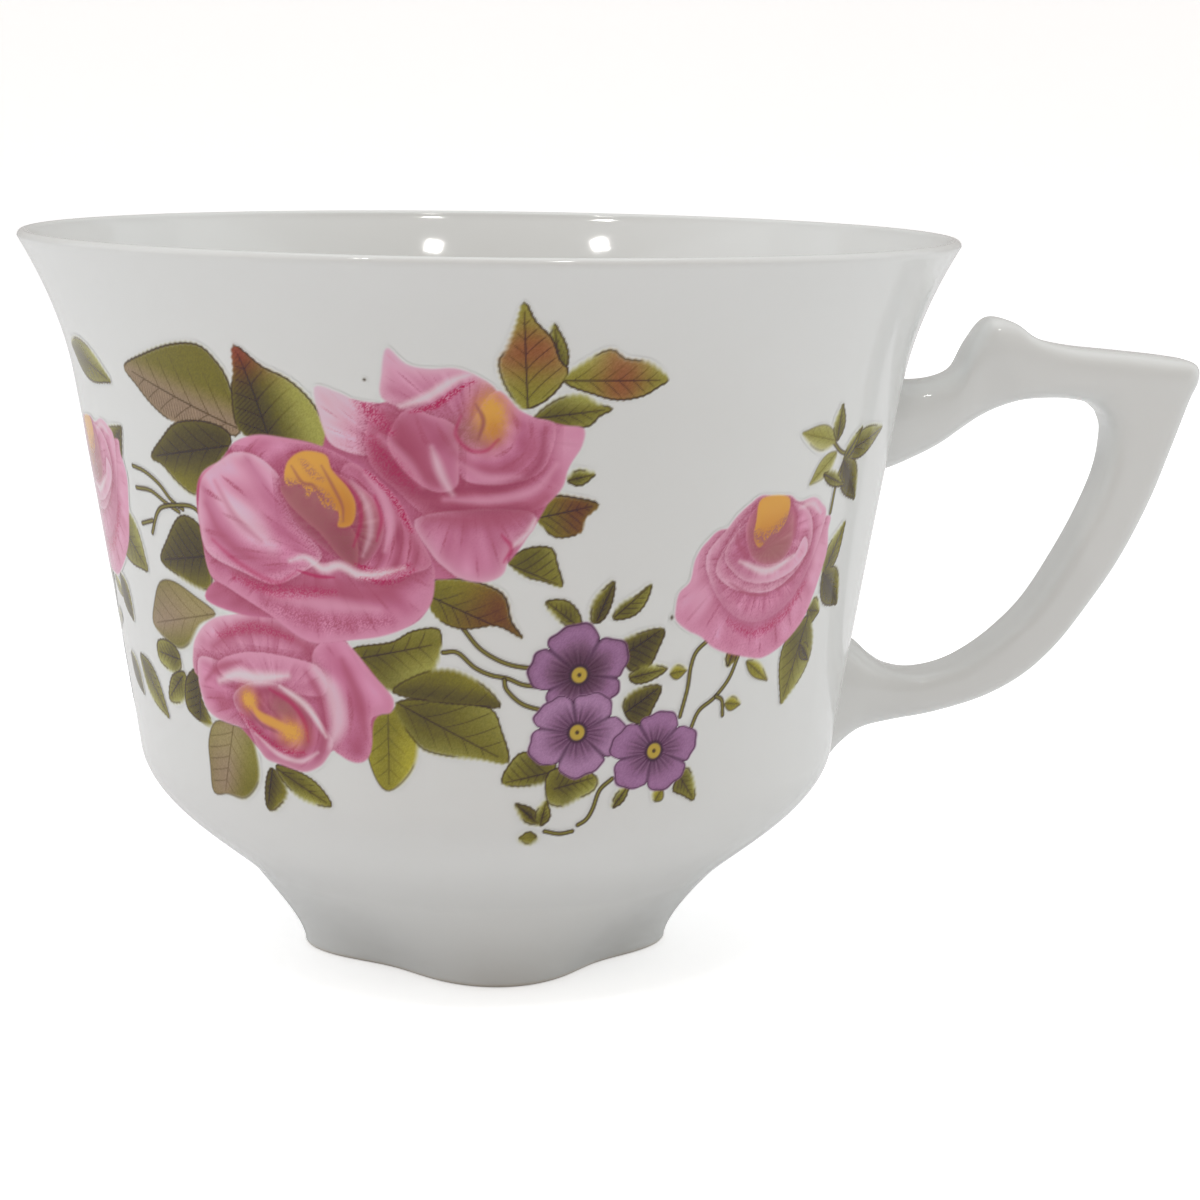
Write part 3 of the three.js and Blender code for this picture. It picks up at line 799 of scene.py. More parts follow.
# kind, base, tip, outline, or width alone where the outline follows from base, tip and width.
leafRows = [
    ("twoTone", (-25.2, 54.6), (-38.3, 59), [(-38.3, 59), (-35, 60.3), (-31, 61.5), (-28, 61.7),
     (-26.5, 60.5), (-25.5, 58.5), (-25, 54.2), (-28, 54.3), (-32.5, 54.6), (-35, 55.8), (-37, 57.5)],
     0),
    ("redTip", (-22, 53.6), (-24.2, 61.9), [(-24.2, 61.9), (-22, 60.2), (-19.8, 59.2), (-18, 57.5),
     (-17, 55.5), (-17, 53.5), (-22, 53.4), (-25, 54.5), (-25.3, 57.5), (-24.8, 59.5)], 0),
    ("dark", (-26, 53), (-36.5, 51), [(-36.5, 51), (-34.5, 52.8), (-32, 54.5), (-28, 54.8),
     (-26, 53.4), (-29.5, 49.5), (-31, 48.2), (-33, 49), (-35, 50.5)], 0),
    ("dark", (-30.6, 42.6), (-37.6, 41.4), [(-37.6, 41.4), (-36, 43.5), (-34, 45.6), (-32.5, 46),
     (-31, 45.2), (-30.4, 43), (-30.5, 40), (-32, 39.5), (-35, 40.3)], 0),
    ("mauve", (-30.5, 37.3), (-41.2, 35), [(-41.2, 35), (-40.3, 37), (-38.5, 39.2), (-36, 39.6),
     (-33, 38.6), (-30.5, 37.3), (-33, 36), (-35, 34), (-37, 33.3), (-39.5, 34)], 0),
    ("green", (-37, 32.2), (-41.2, 32.4), [(-41, 33.2), (-39, 33.7), (-37.2, 33), (-37, 31.5),
     (-38.5, 30.8), (-41, 31.5)], 0),
    ("green", (-37, 30.6), (-40.3, 28), [(-40.3, 28), (-39, 30.3), (-36.5, 31), (-37, 28.8),
     (-38.5, 27.9)], 0),
    ("dark", (-34, 31.4), (-35, 26.5), [(-34, 31.7), (-36.3, 30.5), (-37, 27.8), (-35, 26.7),
     (-33.2, 26.7), (-34.3, 29)], 0),
    ("mauve", (-30, 27), (-32.6, 19.8), [(-32.5, 27), (-30, 27), (-28, 26.5), (-27.3, 24.5),
     (-27.5, 22), (-29.5, 20.2), (-32, 20.2), (-34.3, 20), (-34.3, 22.5), (-34, 25)], 0),
    ("dark", (-25.5, 23.5), (-26.6, 19.6), [(-25.5, 23.5), (-24, 21.5), (-25.5, 19.8), (-26.7, 19.6),
     (-26.5, 22)], 0),
    ("greenTurned", (-25, 23.6), (-19, 20.7), [(-25, 23.8), (-23, 23.7), (-20.5, 22.7), (-19, 20.7),
     (-22, 21), (-24, 22.2)], 0),
    ("lime", (-12.6, 29.8), (-12.8, 22.6), [(-14.2, 29.4), (-12.5, 29.9), (-11, 30.8), (-10, 29),
     (-10, 26), (-11, 24), (-12.8, 22.6), (-14, 23.5), (-14.8, 26), (-14.4, 28)], 0),
    ("greenTurned", (-15.5, 34.6), (-7.6, 36.4), [(-15.5, 35.6), (-12, 36.3), (-10, 37.4),
     (-7.6, 37.6), (-7.8, 35), (-9, 33), (-11.5, 31.9), (-13.5, 32.5), (-15, 34.5)], 0),
    ("greenTurned", (-12, 31), (-1.3, 25.6), [(-11.8, 30.8), (-6, 31.2), (-3, 30.5), (-2, 28.5),
     (-1.3, 25.6), (-4, 25.9), (-8, 26.3), (-10, 27.3)], 0),
    ("dark", (-12, 31.2), (-2.2, 30.7), [(-12, 31.8), (-9.5, 33.5), (-7, 34), (-5, 33.4), (-3.2, 32.2),
     (-2.2, 30.7), (-5, 30.9), (-8, 31.1)], 0),
    ("brown", (-8.3, 40.6), (-0.3, 37), [(-8.2, 42), (-5.5, 42.2), (-3, 41.5), (-1.8, 40.5),
     (-1.3, 38.5), (-0.3, 37), (-2.5, 38.1), (-5.5, 37.8), (-7.5, 38.5), (-8.5, 40)], 0),
    ("greenTurned", (-1.5, 43.6), (3.1, 41.6), [(-1.5, 44), (0, 45), (2, 45), (2.6, 43.5), (3.1, 41.6),
     (1.5, 42.1), (0, 42.5), (-1.2, 43.3)], 0),
    ("brown", (0.3, 47.6), (5.9, 48.8), [(0.3, 48.6), (2, 49.6), (4, 49.4), (5.9, 48.8), (4.8, 47.6),
     (4.5, 46.4), (2.5, 46), (1.2, 47)], 0),
    ("green", (3.2, 51), (5.4, 51.5), [], 1.3),
    ("green", (2.2, 60), (1.4, 64.6), [], 1.5),
    ("redHeart", (-0.3, 57.3), (-0.9, 66.4), [(-0.9, 66.4), (0, 64.8), (1.3, 63.3), (2, 61.5),
     (2.7, 60.5), (2, 59), (0.8, 57.8), (-0.5, 57.3), (-1.2, 57.8), (-2.2, 59.5), (-2.6, 61.3),
     (-2, 62.5), (-1.4, 64.5)], 0),
    ("redHeart", (2.5, 59.7), (11, 59.6), [(2.5, 59.7), (4.5, 61.6), (6, 62.3), (7.2, 61.5), (9, 61.2),
     (10.5, 60.2), (11, 59.6), (10.3, 59.1), (9, 58.3), (7, 58), (5, 58.5)], 0),
    ("green", (0.2, 56.4), (6.5, 57.2), [(0.2, 56.3), (2, 58), (4, 58.4), (5.3, 57.6), (6.5, 57.2),
     (5.5, 56.6), (4.5, 55.7), (2, 55.8)], 0),
    ("green", (4.4, 38.2), (1.6, 40.4), [(1.8, 40.2), (3.5, 40.3), (4.7, 39.2), (5, 37.8), (3.8, 38),
     (2.6, 39)], 0),
    ("dark", (6.4, 38.3), (7.8, 41.8), [(6, 38.3), (6, 40), (7, 41.3), (7.8, 41.8), (7.7, 40),
     (7, 38.5)], 0),
    ("green", (8, 38.6), (11.3, 41.4), [(8, 38.5), (8.5, 39.7), (10, 40.5), (11.3, 41.4), (10.9, 39.8),
     (9.8, 38.7)], 0),
    ("dark", (9, 35), (13, 37.4), [(8.8, 36), (10.5, 37), (13, 37.3), (12.6, 35.5), (11.8, 34),
     (10, 33.7)], 0),
    ("green", (10, 33), (13.7, 33.6), [(10, 33.3), (11.5, 34), (13.7, 33.6), (12, 32.6), (10.5, 32.5)],
     0),
    ("dark", (9.8, 29.8), (13.3, 32), [(9.6, 30.8), (11, 31.9), (13.3, 32), (12.6, 30), (11.8, 28.7),
     (10.2, 29.2)], 0),
    ("green", (2.8, 24.6), (-1.9, 23.6), [(-1.8, 23.6), (-0.8, 25.8), (0.5, 26.5), (3, 26), (3, 24.3),
     (1.5, 23.5)], 0),
    ("greenTurned", (3.2, 23), (7.4, 24), [(2.6, 24.5), (2.6, 22), (4, 21.4), (5.5, 22), (7.2, 22.8),
     (7.3, 24), (5, 25)], 0),
    ("green", (16.2, 23.6), (18.5, 20.8), [(15.8, 22.2), (17, 24), (18, 23), (18.5, 20.9), (17, 21.5)],
     0),
    ("dark", (1.8, 19.8), (-0.5, 21.7), [], 1.3),
    ("green", (2.0, 19.6), (2.5, 21.9), [], 1.4),
    ("green", (1.7, 18.4), (0.0, 18.3), [], 1.2),
    ("green", (9.3, 21.0), (10.9, 23.1), [], 1.0),
    ("lime", (13.8, 21.2), (14.6, 22.4), [], 1.3),
    ("pale", (31, 53), (25.8, 54.1), [], 2.3),
    ("green", (31.2, 53), (31.1, 56.3), [], 1.7),
    ("pale", (31.5, 51.9), (28, 49.2), [], 1.9),
    ("green", (33, 51.6), (41, 53.3), [], 2.6),
    ("green", (33, 51), (35.6, 53.8), [], 1.2),
    ("dark", (33, 51), (37, 47), [], 3.0),
    ("green", (30, 50), (34, 48.6), [], 1.2),
    ("green", (33, 40), (35.8, 45), [], 2.6),
    ("dark", (33, 40.5), (37.6, 37), [], 3.4),
    ("green", (31.3, 37.2), (33.6, 36.8), [], 2.4),
    ("green", (31.6, 36.6), (29.3, 28.6), [], 5.4),
    ("dark", (31, 34), (33, 32.3), [], 1.4),
    ("lime", (23, 33.4), (26.4, 31.2), [], 1.3),
    ("lime", (14.1, 33.1), (15.9, 33.3), [], 1.3),
    ("lime", (20.9, 29.7), (23.0, 29.4), [], 1.3),
    ("brown", (20.7, 33.2), (21.3, 35.2), [], 1.2),
]

stemRows = [
    [(-5.5, 37.8), (-4, 36), (-2, 34.8), (0, 34.3), (2.2, 34.3)],
    [(-7.3, 35.6), (-6, 35.6), (-4.5, 34.3), (-3, 33.6), (-1.5, 33.3), (0, 32.7), (2, 32.5)],
    [(-1.8, 33.2), (-1.5, 32.2), (0, 30.9), (2.4, 30.2)],
    [(9, 23.7), (7.8, 22.7), (7.2, 21), (6.6, 20), (5.8, 19.5)],
    [(2.5, 19), (4, 18.7), (5.3, 18.9)],
    [(15.7, 29), (16.2, 31.5), (16.3, 33.5), (16.8, 35), (18.4, 36.2)],
    [(17, 27.4), (17.8, 29.3), (19.5, 30.4), (21, 32), (21.8, 34)],
    [(19.7, 30.5), (20.5, 30), (20.8, 28.6)],
    [(27, 53.6), (30, 53.2), (32, 52), (33.5, 51.5)],
    [(33.5, 51.5), (32.5, 49.5), (32.3, 46.2)],
    [(-40, 49.8), (-38, 49.5), (-36, 48.6), (-34.5, 47.3), (-33, 46.6)],
    [(-40, 47.8), (-37.5, 47.8), (-35.5, 47), (-33.6, 46.3)],
    [(-38.4, 43.8), (-37, 45.8), (-35.5, 46.6), (-32, 47), (-30.5, 46.3)],
    [(-40, 44.5), (-38, 45)],
]

budRows = [
    ("dab", "pen", 0.9, (0.16, 0.2), (13.7, 38.3)),
    ("dab", "pen", 0.9, (0.12, 0.12), (-13.2, 59.5)), ("dab", "moss", 0.9, (0.7, 0.45), (0.9, 18.3)),
]

violets = [
    ((5.1, 33.5), (4.8, 4.2), 1.75, 0.14, ("violetDeep", "violet")),
    ((5.2, 28.2), (4.9, 4.1), 1.1, -0.05, ("violetMid", "violetLight")),
    ((13.2, 26.0), (4.9, 3.9), 1.45, -0.04, ("violetMid", "violet")),
]

# Each petal: colour, shade, the side the shade falls on, rim, rim width, streaks (from u, v, how
# many, how strong), outline. Strokes and dots: colour, strength, width, softness, points.
roseRows = {
    "middle": [
        ("petal", "rose", "roseMid", (0, 1), "rose", 0.0, None, [(-30.8, 48.5), (-29.8, 50.2),
         (-27.5, 51.5), (-25, 53.6), (-20, 54), (-17, 53.4), (-14.5, 52.2), (-12.5, 50.8), (-10.8, 49),
         (-9.8, 47), (-9, 45.5), (-8.2, 43.5), (-8, 41.5), (-8.6, 39.5), (-10.5, 37.8), (-16, 36.3),
         (-20, 35.9), (-24, 38), (-28, 39.8), (-30.5, 41), (-31, 46)]),
        ("petal", "roseMid", "roseDeep", (0.3, 1), "rose", 0.5, (-20, 44, 14, 1.0), [(-31.5, 38.5),
         (-30, 40.4), (-27, 41), (-22, 40.2), (-18, 37.2), (-20, 36.6), (-23, 37.6), (-27, 37.6)]),
        ("petal", "rose", "roseMid", (0, 1), "roseLight", 0.9, (-19, 47, 13, 1.3), [(-30.5, 44),
         (-30.5, 41), (-28, 39.8), (-24, 38), (-20, 35.9), (-16, 36.3), (-13, 36.8), (-10.5, 37.8),
         (-8.6, 39.5), (-8, 41.5), (-8.4, 43.8), (-12, 44), (-20, 43), (-27, 44)]),
        ("stroke", "roseDeep", 0.75, 2.6, 2.4, [(-27, 41.6), (-23, 40.5), (-18, 40.6), (-13, 40.7),
         (-9.6, 42.6)]),
        ("stroke", "roseLight", 0.7, 1.4, 1.2, [(-24, 39.9), (-18, 39.4), (-13, 39.2)]),
        ("dots", "roseDeep", 0.6, 1.4, 1.6, [(-24.5, 38.9), (-18, 37.7), (-12, 38.3)]),
        ("petal", "rose", "roseMid", (1, 0.2), "roseLight", 0.6, (-18, 46, 7, 1.8, 2.6), [(-26, 52.5),
         (-25, 53.6), (-23, 54.2), (-20, 54), (-17, 53.4), (-14.5, 52.2), (-12.5, 50.8), (-14, 49),
         (-20, 49), (-24, 49.5)]),
        ("petal", "roseLight", "rose", (0.6, -1), "rosePale", 0.5, (-17.5, 43.5, 9, 1.9), [(-31, 46),
         (-30.6, 48), (-29.8, 50.2), (-27.5, 51.5), (-25.8, 52.4), (-23.4, 52.2), (-21.2, 50.2),
         (-20.6, 47), (-18, 44), (-20, 42.2), (-23, 40.8), (-26.4, 41.6), (-30.4, 43)]),
        ("stroke", "roseMid", 0.7, 2.2, 2.0, [(-30, 49), (-29, 46.5), (-27.5, 44), (-24.5, 42.3)]),
        ("stroke", "rosePale", 0.75, 2.4, 2.6, [(-27.5, 48), (-25, 46), (-23, 44.3)]),
        ("stroke", "roseMid", 0.7, 1.6, 1.6, [(-24.5, 51.8), (-22.6, 49), (-21.6, 46), (-19.5, 43.8)]),
        ("petal", "rose", "roseDeep", (0.5, 0.2), "roseLight", 0.5, (-17.5, 46.5, 5, 2.4, 4.0),
         [(-15, 52.2), (-12.5, 50.8), (-10.8, 49), (-9.8, 47), (-9, 45.5), (-8.2, 43.5), (-10, 42.6),
         (-12.5, 41.9), (-15.4, 42.4), (-15.4, 46), (-16, 50)]),
        ("petal", "roseWarm", "mauveDeep", (-0.3, -1), "rose", 0.5, (-16, 46.5, 15, 1.6),
         [(-21.4, 50.3), (-19, 51.8), (-16, 51.2), (-13.2, 49.4), (-12.2, 47), (-12.9, 44.5),
         (-15, 42.9), (-18, 44.6), (-20.6, 47)]),
        ("petal", "mauve", "mauveDeep", (0, -1), "roseWarm", 0.4, None, [(-21.3, 49.8), (-21, 48.5),
         (-19.5, 47), (-18, 45.8), (-16.5, 44), (-15, 43), (-14.6, 44.4), (-14.8, 46), (-16, 47.4),
         (-18.5, 49.4)]),
        ("stroke", "roseLight", 0.8, 0.9, 0.7, [(-13.6, 51.2), (-12.2, 49.4), (-11.6, 47),
         (-12.2, 44.6)]),
        ("stroke", "rosePale", 0.6, 0.6, 0.6, [(-14.8, 50.6), (-13.6, 48.6), (-13.4, 46.2),
         (-14.2, 44)]),
        ("dots", "crimson", 0.8, 0.7, 0.6, [(-13.5, 51.6), (-11.5, 49.8), (-10.6, 48), (-9.8, 46.4)]),
        ("dots", "crimson", 0.8, 0.6, 0.5, [(-15, 43.2), (-12.5, 42.5), (-10, 43.4)]),
        ("stroke", "crimson", 0.55, 0.35, 0.4, [(-12.9, 49.4), (-12.4, 47.4), (-12.9, 45.4)]),
        ("stroke", "crimson", 0.6, 0.4, 0.4, [(-16.6, 51.4), (-14.6, 49.4), (-14.2, 47.2), (-15, 44.8)]),
        ("petal", "amber", "amberDeep", (0.3, -1), "amber", 0.3, None, [(-21, 50.5), (-20.5, 52),
         (-19, 53), (-17, 52.8), (-16.5, 51.5), (-15.2, 50), (-14.6, 48.5), (-15, 46.8), (-16.3, 46.5),
         (-16.2, 47.8), (-17.5, 48.2), (-18.2, 49.5), (-19, 48.8), (-19.4, 50), (-20.6, 49.8)]),
        ("dots", "mauve", 0.85, 1.5, 1.0, [(-20.9, 50.2), (-19.2, 49.4), (-17.6, 48.8), (-16.4, 47.2)]),
        ("stroke", "mauveDeep", 0.6, 0.3, 0.35, [(-20.2, 51.6), (-19.3, 50.2), (-18.3, 50),
         (-17.4, 48.7)]),
        ("dots", "mauve", 0.6, 0.7, 0.7, [(-19.2, 52.2), (-18.2, 51), (-17.4, 50.6)]),
        ("stroke", "mauveDeep", 0.6, 0.3, 0.35, [(-17.4, 51.8), (-16.6, 50.2), (-15.8, 48.4),
         (-15.8, 47)]),
        ("stroke", "lip", 0.85, 0.8, 0.7, [(-21.2, 43.1), (-19.6, 43.5), (-18, 42.6), (-16.4, 43),
         (-14.6, 42.3), (-12.6, 42.5), (-10.6, 43.1)]),
        ("stroke", "crimson", 0.7, 0.3, 0.3, [(-20.6, 42.3), (-18.6, 41.9), (-17, 41.9)]),
        ("stroke", "crimson", 0.45, 0.5, 0.6, [(-29.6, 44.2), (-26.8, 42.4), (-23, 41), (-20.8, 42)]),
        ("dots", "crimson", 0.5, 1.0, 1.0, [(-27.5, 41), (-23, 40.2), (-17, 40.6)]),
        ("stroke", "roseDeep", 0.5, 0.9, 1.1, [(-29.8, 47.4), (-28.4, 44.8), (-25.6, 43.1),
         (-22.4, 43.2)]),
        ("stroke", "roseDeep", 0.4, 0.6, 0.8, [(-28.4, 49.6), (-26.6, 46.6), (-24, 44.6)]),
        ("stroke", "crimson", 0.45, 0.28, 0.3, [(-30.9, 44.5), (-31, 47), (-30, 49.8), (-28, 51.3)]),
        ("dots", "crimson", 0.6, 0.5, 0.5, [(-14.6, 42), (-12, 41.8), (-9.6, 43)]),
    ],
    "upper": [
        ("petal", "roseMid", "rose", (1, 0), "rose", 0.0, None, [(-17, 54), (-15.5, 57.6), (-12, 57.5),
         (-6, 59), (0.2, 56.5), (4, 55.2), (3.2, 52.2), (1.6, 49), (0.4, 46.8), (-2, 43.4),
         (-5.5, 42.4), (-9.4, 42.6), (-12.5, 47), (-17, 52)]),
        ("petal", "rosePale", "roseLight", (1, -0.5), "rosePale", 0.4, (-11, 53, 12, 1.0),
         [(-17.5, 58.6), (-15.5, 58.3), (-14, 57.6), (-12.4, 57.4), (-11.6, 55.4), (-13, 53),
         (-16, 53.5), (-17, 55)]),
        ("petal", "rose", "roseDeep", (-0.6, -1), "roseLight", 0.8, (-9, 56, 13, 0.8), [(-13.4, 54.8),
         (-12, 57.4), (-9, 57.5), (-3, 55.5), (0.6, 56.3), (2, 55.8), (4.2, 55.6), (4.2, 54),
         (3.2, 52.2), (2.8, 50.5), (1.6, 49), (0, 48.3), (-4, 47.6), (-8, 47.5), (-11, 50), (-13, 52)]),
        ("petal", "rose", "roseMid", (0.2, 1), "rosePale", 0.6, (-5, 52, 12, 1.2), [(-9.5, 47.4),
         (-5, 48.4), (0, 48.3), (0.5, 46.8), (-0.8, 45.6), (-1.6, 44.5), (-2, 42.8), (-3.5, 42),
         (-5.5, 42.2), (-7, 43.2), (-8.2, 44.5)]),
        ("stroke", "roseDeep", 0.8, 1.6, 1.8, [(-8.6, 47.6), (-4, 47.6), (-0.4, 48.2), (1.4, 49.6)]),
        ("stroke", "lip", 0.75, 0.6, 0.6, [(0.6, 47.6), (0, 46.2), (-1.2, 45.2)]),
        ("stroke", "roseDark", 0.6, 2.4, 2.4, [(-12.6, 53.6), (-10.8, 51.2), (-8, 49.4)]),
        ("petal", "roseLight", "roseMid", (0.2, -1), "rosePale", 0.6, (-5, 55, 14, 1.2), [(-11.9, 58),
         (-11.8, 60), (-11.2, 62.3), (-9.8, 61), (-8, 60.6), (-6, 60.7), (-4.2, 60), (-2.8, 58.8),
         (-3, 56.8), (-5, 55.5), (-8, 55.8), (-10, 57)]),
        ("petal", "rose", "roseMid", (0.8, -0.6), "roseLight", 0.5, (-3.6, 56, 4, 1.6, 2.6),
         [(-2.9, 58.8), (-1, 57.2), (0.2, 56.5), (2, 55.8), (1.4, 52.6), (0, 51.2), (-3, 50.6),
         (-5.5, 51.2), (-6, 54), (-5, 55.6)]),
        ("petal", "roseMid", "roseDeep", (-1, -0.4), "roseLight", 0.5, (-2.5, 57, 5, 1.4, 2.0),
         [(-10, 57), (-8, 56.6), (-6, 55.6), (-5.8, 52.6), (-6, 50.4), (-8, 50), (-10.4, 51.8),
         (-11.6, 54.4)]),
        ("stroke", "lip", 0.8, 0.8, 0.7, [(-10.4, 57.3), (-8.2, 58.2), (-6.2, 59.6), (-4.8, 60.2)]),
        ("dots", "crimson", 0.8, 0.5, 0.4, [(-9.6, 56.8), (-7.5, 57.5), (-6, 58.7), (-4.5, 59.6)]),
        ("dots", "crimson", 0.6, 1.2, 1.2, [(-14, 57.8), (-12.6, 56.4), (-11.2, 55)]),
        ("dots", "crimson", 0.45, 1.6, 1.8, [(-13, 54.4), (-11.6, 52.4), (-9.5, 50.4)]),
        ("stroke", "rosePale", 0.8, 0.8, 0.8, [(-8, 53.8), (-7.2, 51.4), (-6.3, 49.7)]),
        ("stroke", "roseDark", 0.6, 0.9, 0.9, [(-6, 50.2), (-2, 50.5), (0, 51.6), (1, 53.2),
         (0.9, 55.2)]),
        ("stroke", "roseLight", 0.7, 0.8, 0.8, [(-7, 49.3), (-3, 49.3), (0.4, 50.2), (2.2, 52.4)]),
        ("stroke", "roseDark", 0.5, 0.7, 0.8, [(-8, 48.6), (-4, 48.3), (0, 48.6)]),
        ("stroke", "roseDeep", 0.55, 1.4, 1.5, [(-11.4, 56.2), (-9.4, 54.4), (-8.4, 51.4)]),
        ("stroke", "roseDeep", 0.5, 1.0, 1.1, [(-6.2, 53.4), (-4.6, 52), (-1.6, 51.9), (0.2, 53.6),
         (0.2, 55.4)]),
        ("stroke", "roseLight", 0.6, 0.8, 0.9, [(-5.6, 52.4), (-3.4, 51.2), (-0.8, 51.4)]),
        ("stroke", "roseLight", 0.55, 0.9, 1.0, [(-12.2, 54.6), (-10.2, 52.6), (-8.8, 50.4)]),
        ("dab", "mauve", 0.95, (1.6, 1.5), (-4.5, 55.1)),
        ("dab", "amber", 1.3, (1.25, 1.9), (-3.2, 56.7)),
        ("dab", "amberDeep", 0.7, (0.7, 0.9), (-3.0, 55.4)),
        ("stroke", "mauveDeep", 0.7, 0.35, 0.35, [(-4.4, 57.6), (-3.8, 56.2), (-4.2, 54.6)]),
        ("stroke", "crimson", 0.5, 0.35, 0.4, [(-5.6, 56.6), (-6, 55), (-5, 53.7), (-3.6, 53.6),
         (-2.6, 54.6)]),
        ("stroke", "crimson", 0.6, 0.35, 0.4, [(-2.2, 46.2), (-1.4, 45.1), (-2, 43.8)]),
        ("dab", "roseLight", 0.6, (1.4, 1.6), (3, 54)),
    ],
    "lower": [
        ("petal", "roseMid", "rose", (-0.4, 0.6), "rose", 0.0, None, [(-34, 31), (-33.5, 28),
         (-29.5, 27.2), (-26, 24.6), (-22, 23.8), (-18.3, 26), (-14.8, 25.7), (-14, 29), (-12.4, 31),
         (-16, 35.6), (-20, 36.2), (-24, 38), (-31, 36.6), (-34, 33.6)]),
        ("petal", "roseLight", "roseMid", (0.3, -1), "rosePale", 0.6, (-25, 30, 13, 1.3),
         [(-34.5, 33.5), (-33, 35.5), (-30.5, 37), (-27, 37.7), (-24, 38.4), (-19.5, 36.3),
         (-17.5, 36.7), (-16, 35.8), (-16.8, 33.4), (-22, 32), (-28, 31.4), (-34.3, 31)]),
        ("stroke", "roseDeep", 0.75, 1.5, 1.5, [(-31.4, 34.2), (-28, 36), (-24, 36.6), (-20.5, 35.4),
         (-19.4, 33.6)]),
        ("petal", "rose", "roseMid", (-0.6, -1), "roseLight", 0.6, (-24, 31, 5, 1.6, 1.6),
         [(-19.8, 34.6), (-17.5, 36.4), (-16, 35.8), (-15.2, 35), (-14, 33.4), (-12.8, 32.2),
         (-12, 31), (-12.3, 29.9), (-13.5, 29.6), (-14.3, 29), (-14.3, 27), (-14.8, 25.5), (-16, 25),
         (-17.5, 25.5), (-18.6, 26.6), (-19, 30)]),
        ("petal", "rose", "roseMid", (0.7, -0.3), "rosePale", 0.6, (-26, 30, 13, 1.4), [(-34.3, 31),
         (-34.2, 29.5), (-33.5, 28), (-32, 27.3), (-29.5, 27), (-27.6, 27.2), (-25.5, 29.5),
         (-25, 31.8), (-29, 32.6), (-33.4, 33)]),
        ("petal", "roseLight", "roseMid", (0, -1), "roseLight", 0.5, (-24, 30, 13, 1.0), [(-31, 32.8),
         (-27, 34.2), (-22, 34.2), (-19, 33.4), (-19, 31), (-24, 31), (-30, 31.4)]),
        ("petal", "roseMid", "roseDeep", (0, 1), "rosePale", 0.45, (-25, 29, 4, 1.8, 3.4),
         [(-29.6, 29.5), (-27.5, 31.2), (-24, 31.6), (-21, 30), (-18.4, 27), (-19.2, 25), (-20.5, 24),
         (-22, 23.6), (-24, 24), (-26, 24.3), (-27, 25.3), (-28, 27)]),
        ("stroke", "rosePale", 0.85, 1.8, 1.4, [(-19.6, 33.4), (-18, 31.4), (-17.6, 28.6),
         (-18.6, 26.4)]),
        ("stroke", "roseDeep", 0.6, 0.8, 0.8, [(-20.6, 33), (-19.4, 31), (-19, 28.6), (-19.2, 26.4)]),
        ("stroke", "lip", 0.85, 1.2, 1.0, [(-31.2, 31), (-28.8, 31.9), (-26, 31.9), (-22.6, 32.5)]),
        ("stroke", "lip", 0.85, 0.7, 0.6, [(-23.6, 31.4), (-20.8, 29.8), (-19, 27.2)]),
        ("dab", "mauve", 0.9, (1.8, 1.0), (-23.4, 29.4)),
        ("stroke", "crimson", 0.6, 0.5, 0.5, [(-24.8, 31), (-22.5, 30), (-21.2, 28.3), (-21, 26.6)]),
        ("dots", "crimson", 0.6, 0.8, 0.8, [(-28.8, 28.2), (-26.6, 26.6), (-24, 25.4), (-21.6, 25.4)]),
        ("stroke", "lip", 0.7, 0.5, 0.5, [(-27.2, 26.6), (-24.6, 25), (-22, 24.6), (-20, 25.6)]),
        ("dab", "amber", 1.3, (0.95, 0.95), (-27.5, 29.7)),
        ("stroke", "amber", 0.95, 1.0, 0.5, [(-27.2, 29.4), (-26.4, 28.4), (-24.5, 27.8),
         (-22.6, 27.3)]),
        ("dab", "amber", 1.2, (1.4, 1.1), (-22.8, 27.2)),
        ("stroke", "mauveDeep", 0.6, 0.3, 0.3, [(-27.8, 28.8), (-26.4, 27.6), (-24.4, 27)]),
        ("dab", "roseDeep", 0.7, (1.2, 0.9), (-31, 29)),
        ("stroke", "roseDeep", 0.7, 0.7, 0.8, [(-33.2, 30.8), (-31, 32.3), (-28, 33.2)]),
        ("stroke", "roseDeep", 0.6, 0.9, 1.0, [(-16.8, 34.4), (-15.3, 30.6), (-14.9, 27.4)]),
        ("dots", "crimson", 0.45, 0.9, 1.0, [(-30.5, 35.3), (-26, 36.6), (-21.8, 36)]),
    ],
    "right": [
        ("petal", "roseLight", "rose", (0, -1), "roseLight", 0.7, (23, 46, 13, 1.3), [(14, 39),
         (14.2, 40.5), (15.2, 41.5), (15.5, 43.5), (16.5, 45), (18.5, 46), (24, 44), (31.8, 46),
         (32.5, 44.5), (33, 42.5), (32.5, 40.5), (31.8, 38.5), (30.8, 36.5), (29, 35), (27, 34),
         (25, 33.5), (23, 33.8), (20.5, 34.4), (18.5, 35.2), (17, 36.3), (15.5, 37), (14.2, 38)]),
        ("petal", "roseLight", "rose", (0.2, -1), "rosePale", 0.6, (23.5, 43, 14, 1.4), [(16.6, 43.6),
         (18.5, 46), (19.5, 47.2), (20.8, 48.2), (22, 48.8), (24, 48.5), (25.5, 48.5), (27, 47.8),
         (29, 48), (30.5, 47.3), (31.6, 46), (30.4, 42), (28, 38.6), (24, 37), (20.4, 38),
         (17.8, 40.6)]),
        ("stroke", "roseMid", 0.7, 1.6, 1.6, [(18.2, 40.5), (20, 38.2), (23, 36.8), (26.5, 37.8),
         (29, 40), (30.2, 43), (29.9, 45.6)]),
        ("petal", "rose", "roseLight", (0.2, -1), "rosePale", 0.5, (23.5, 45, 13, 1.5), [(17.8, 42.6),
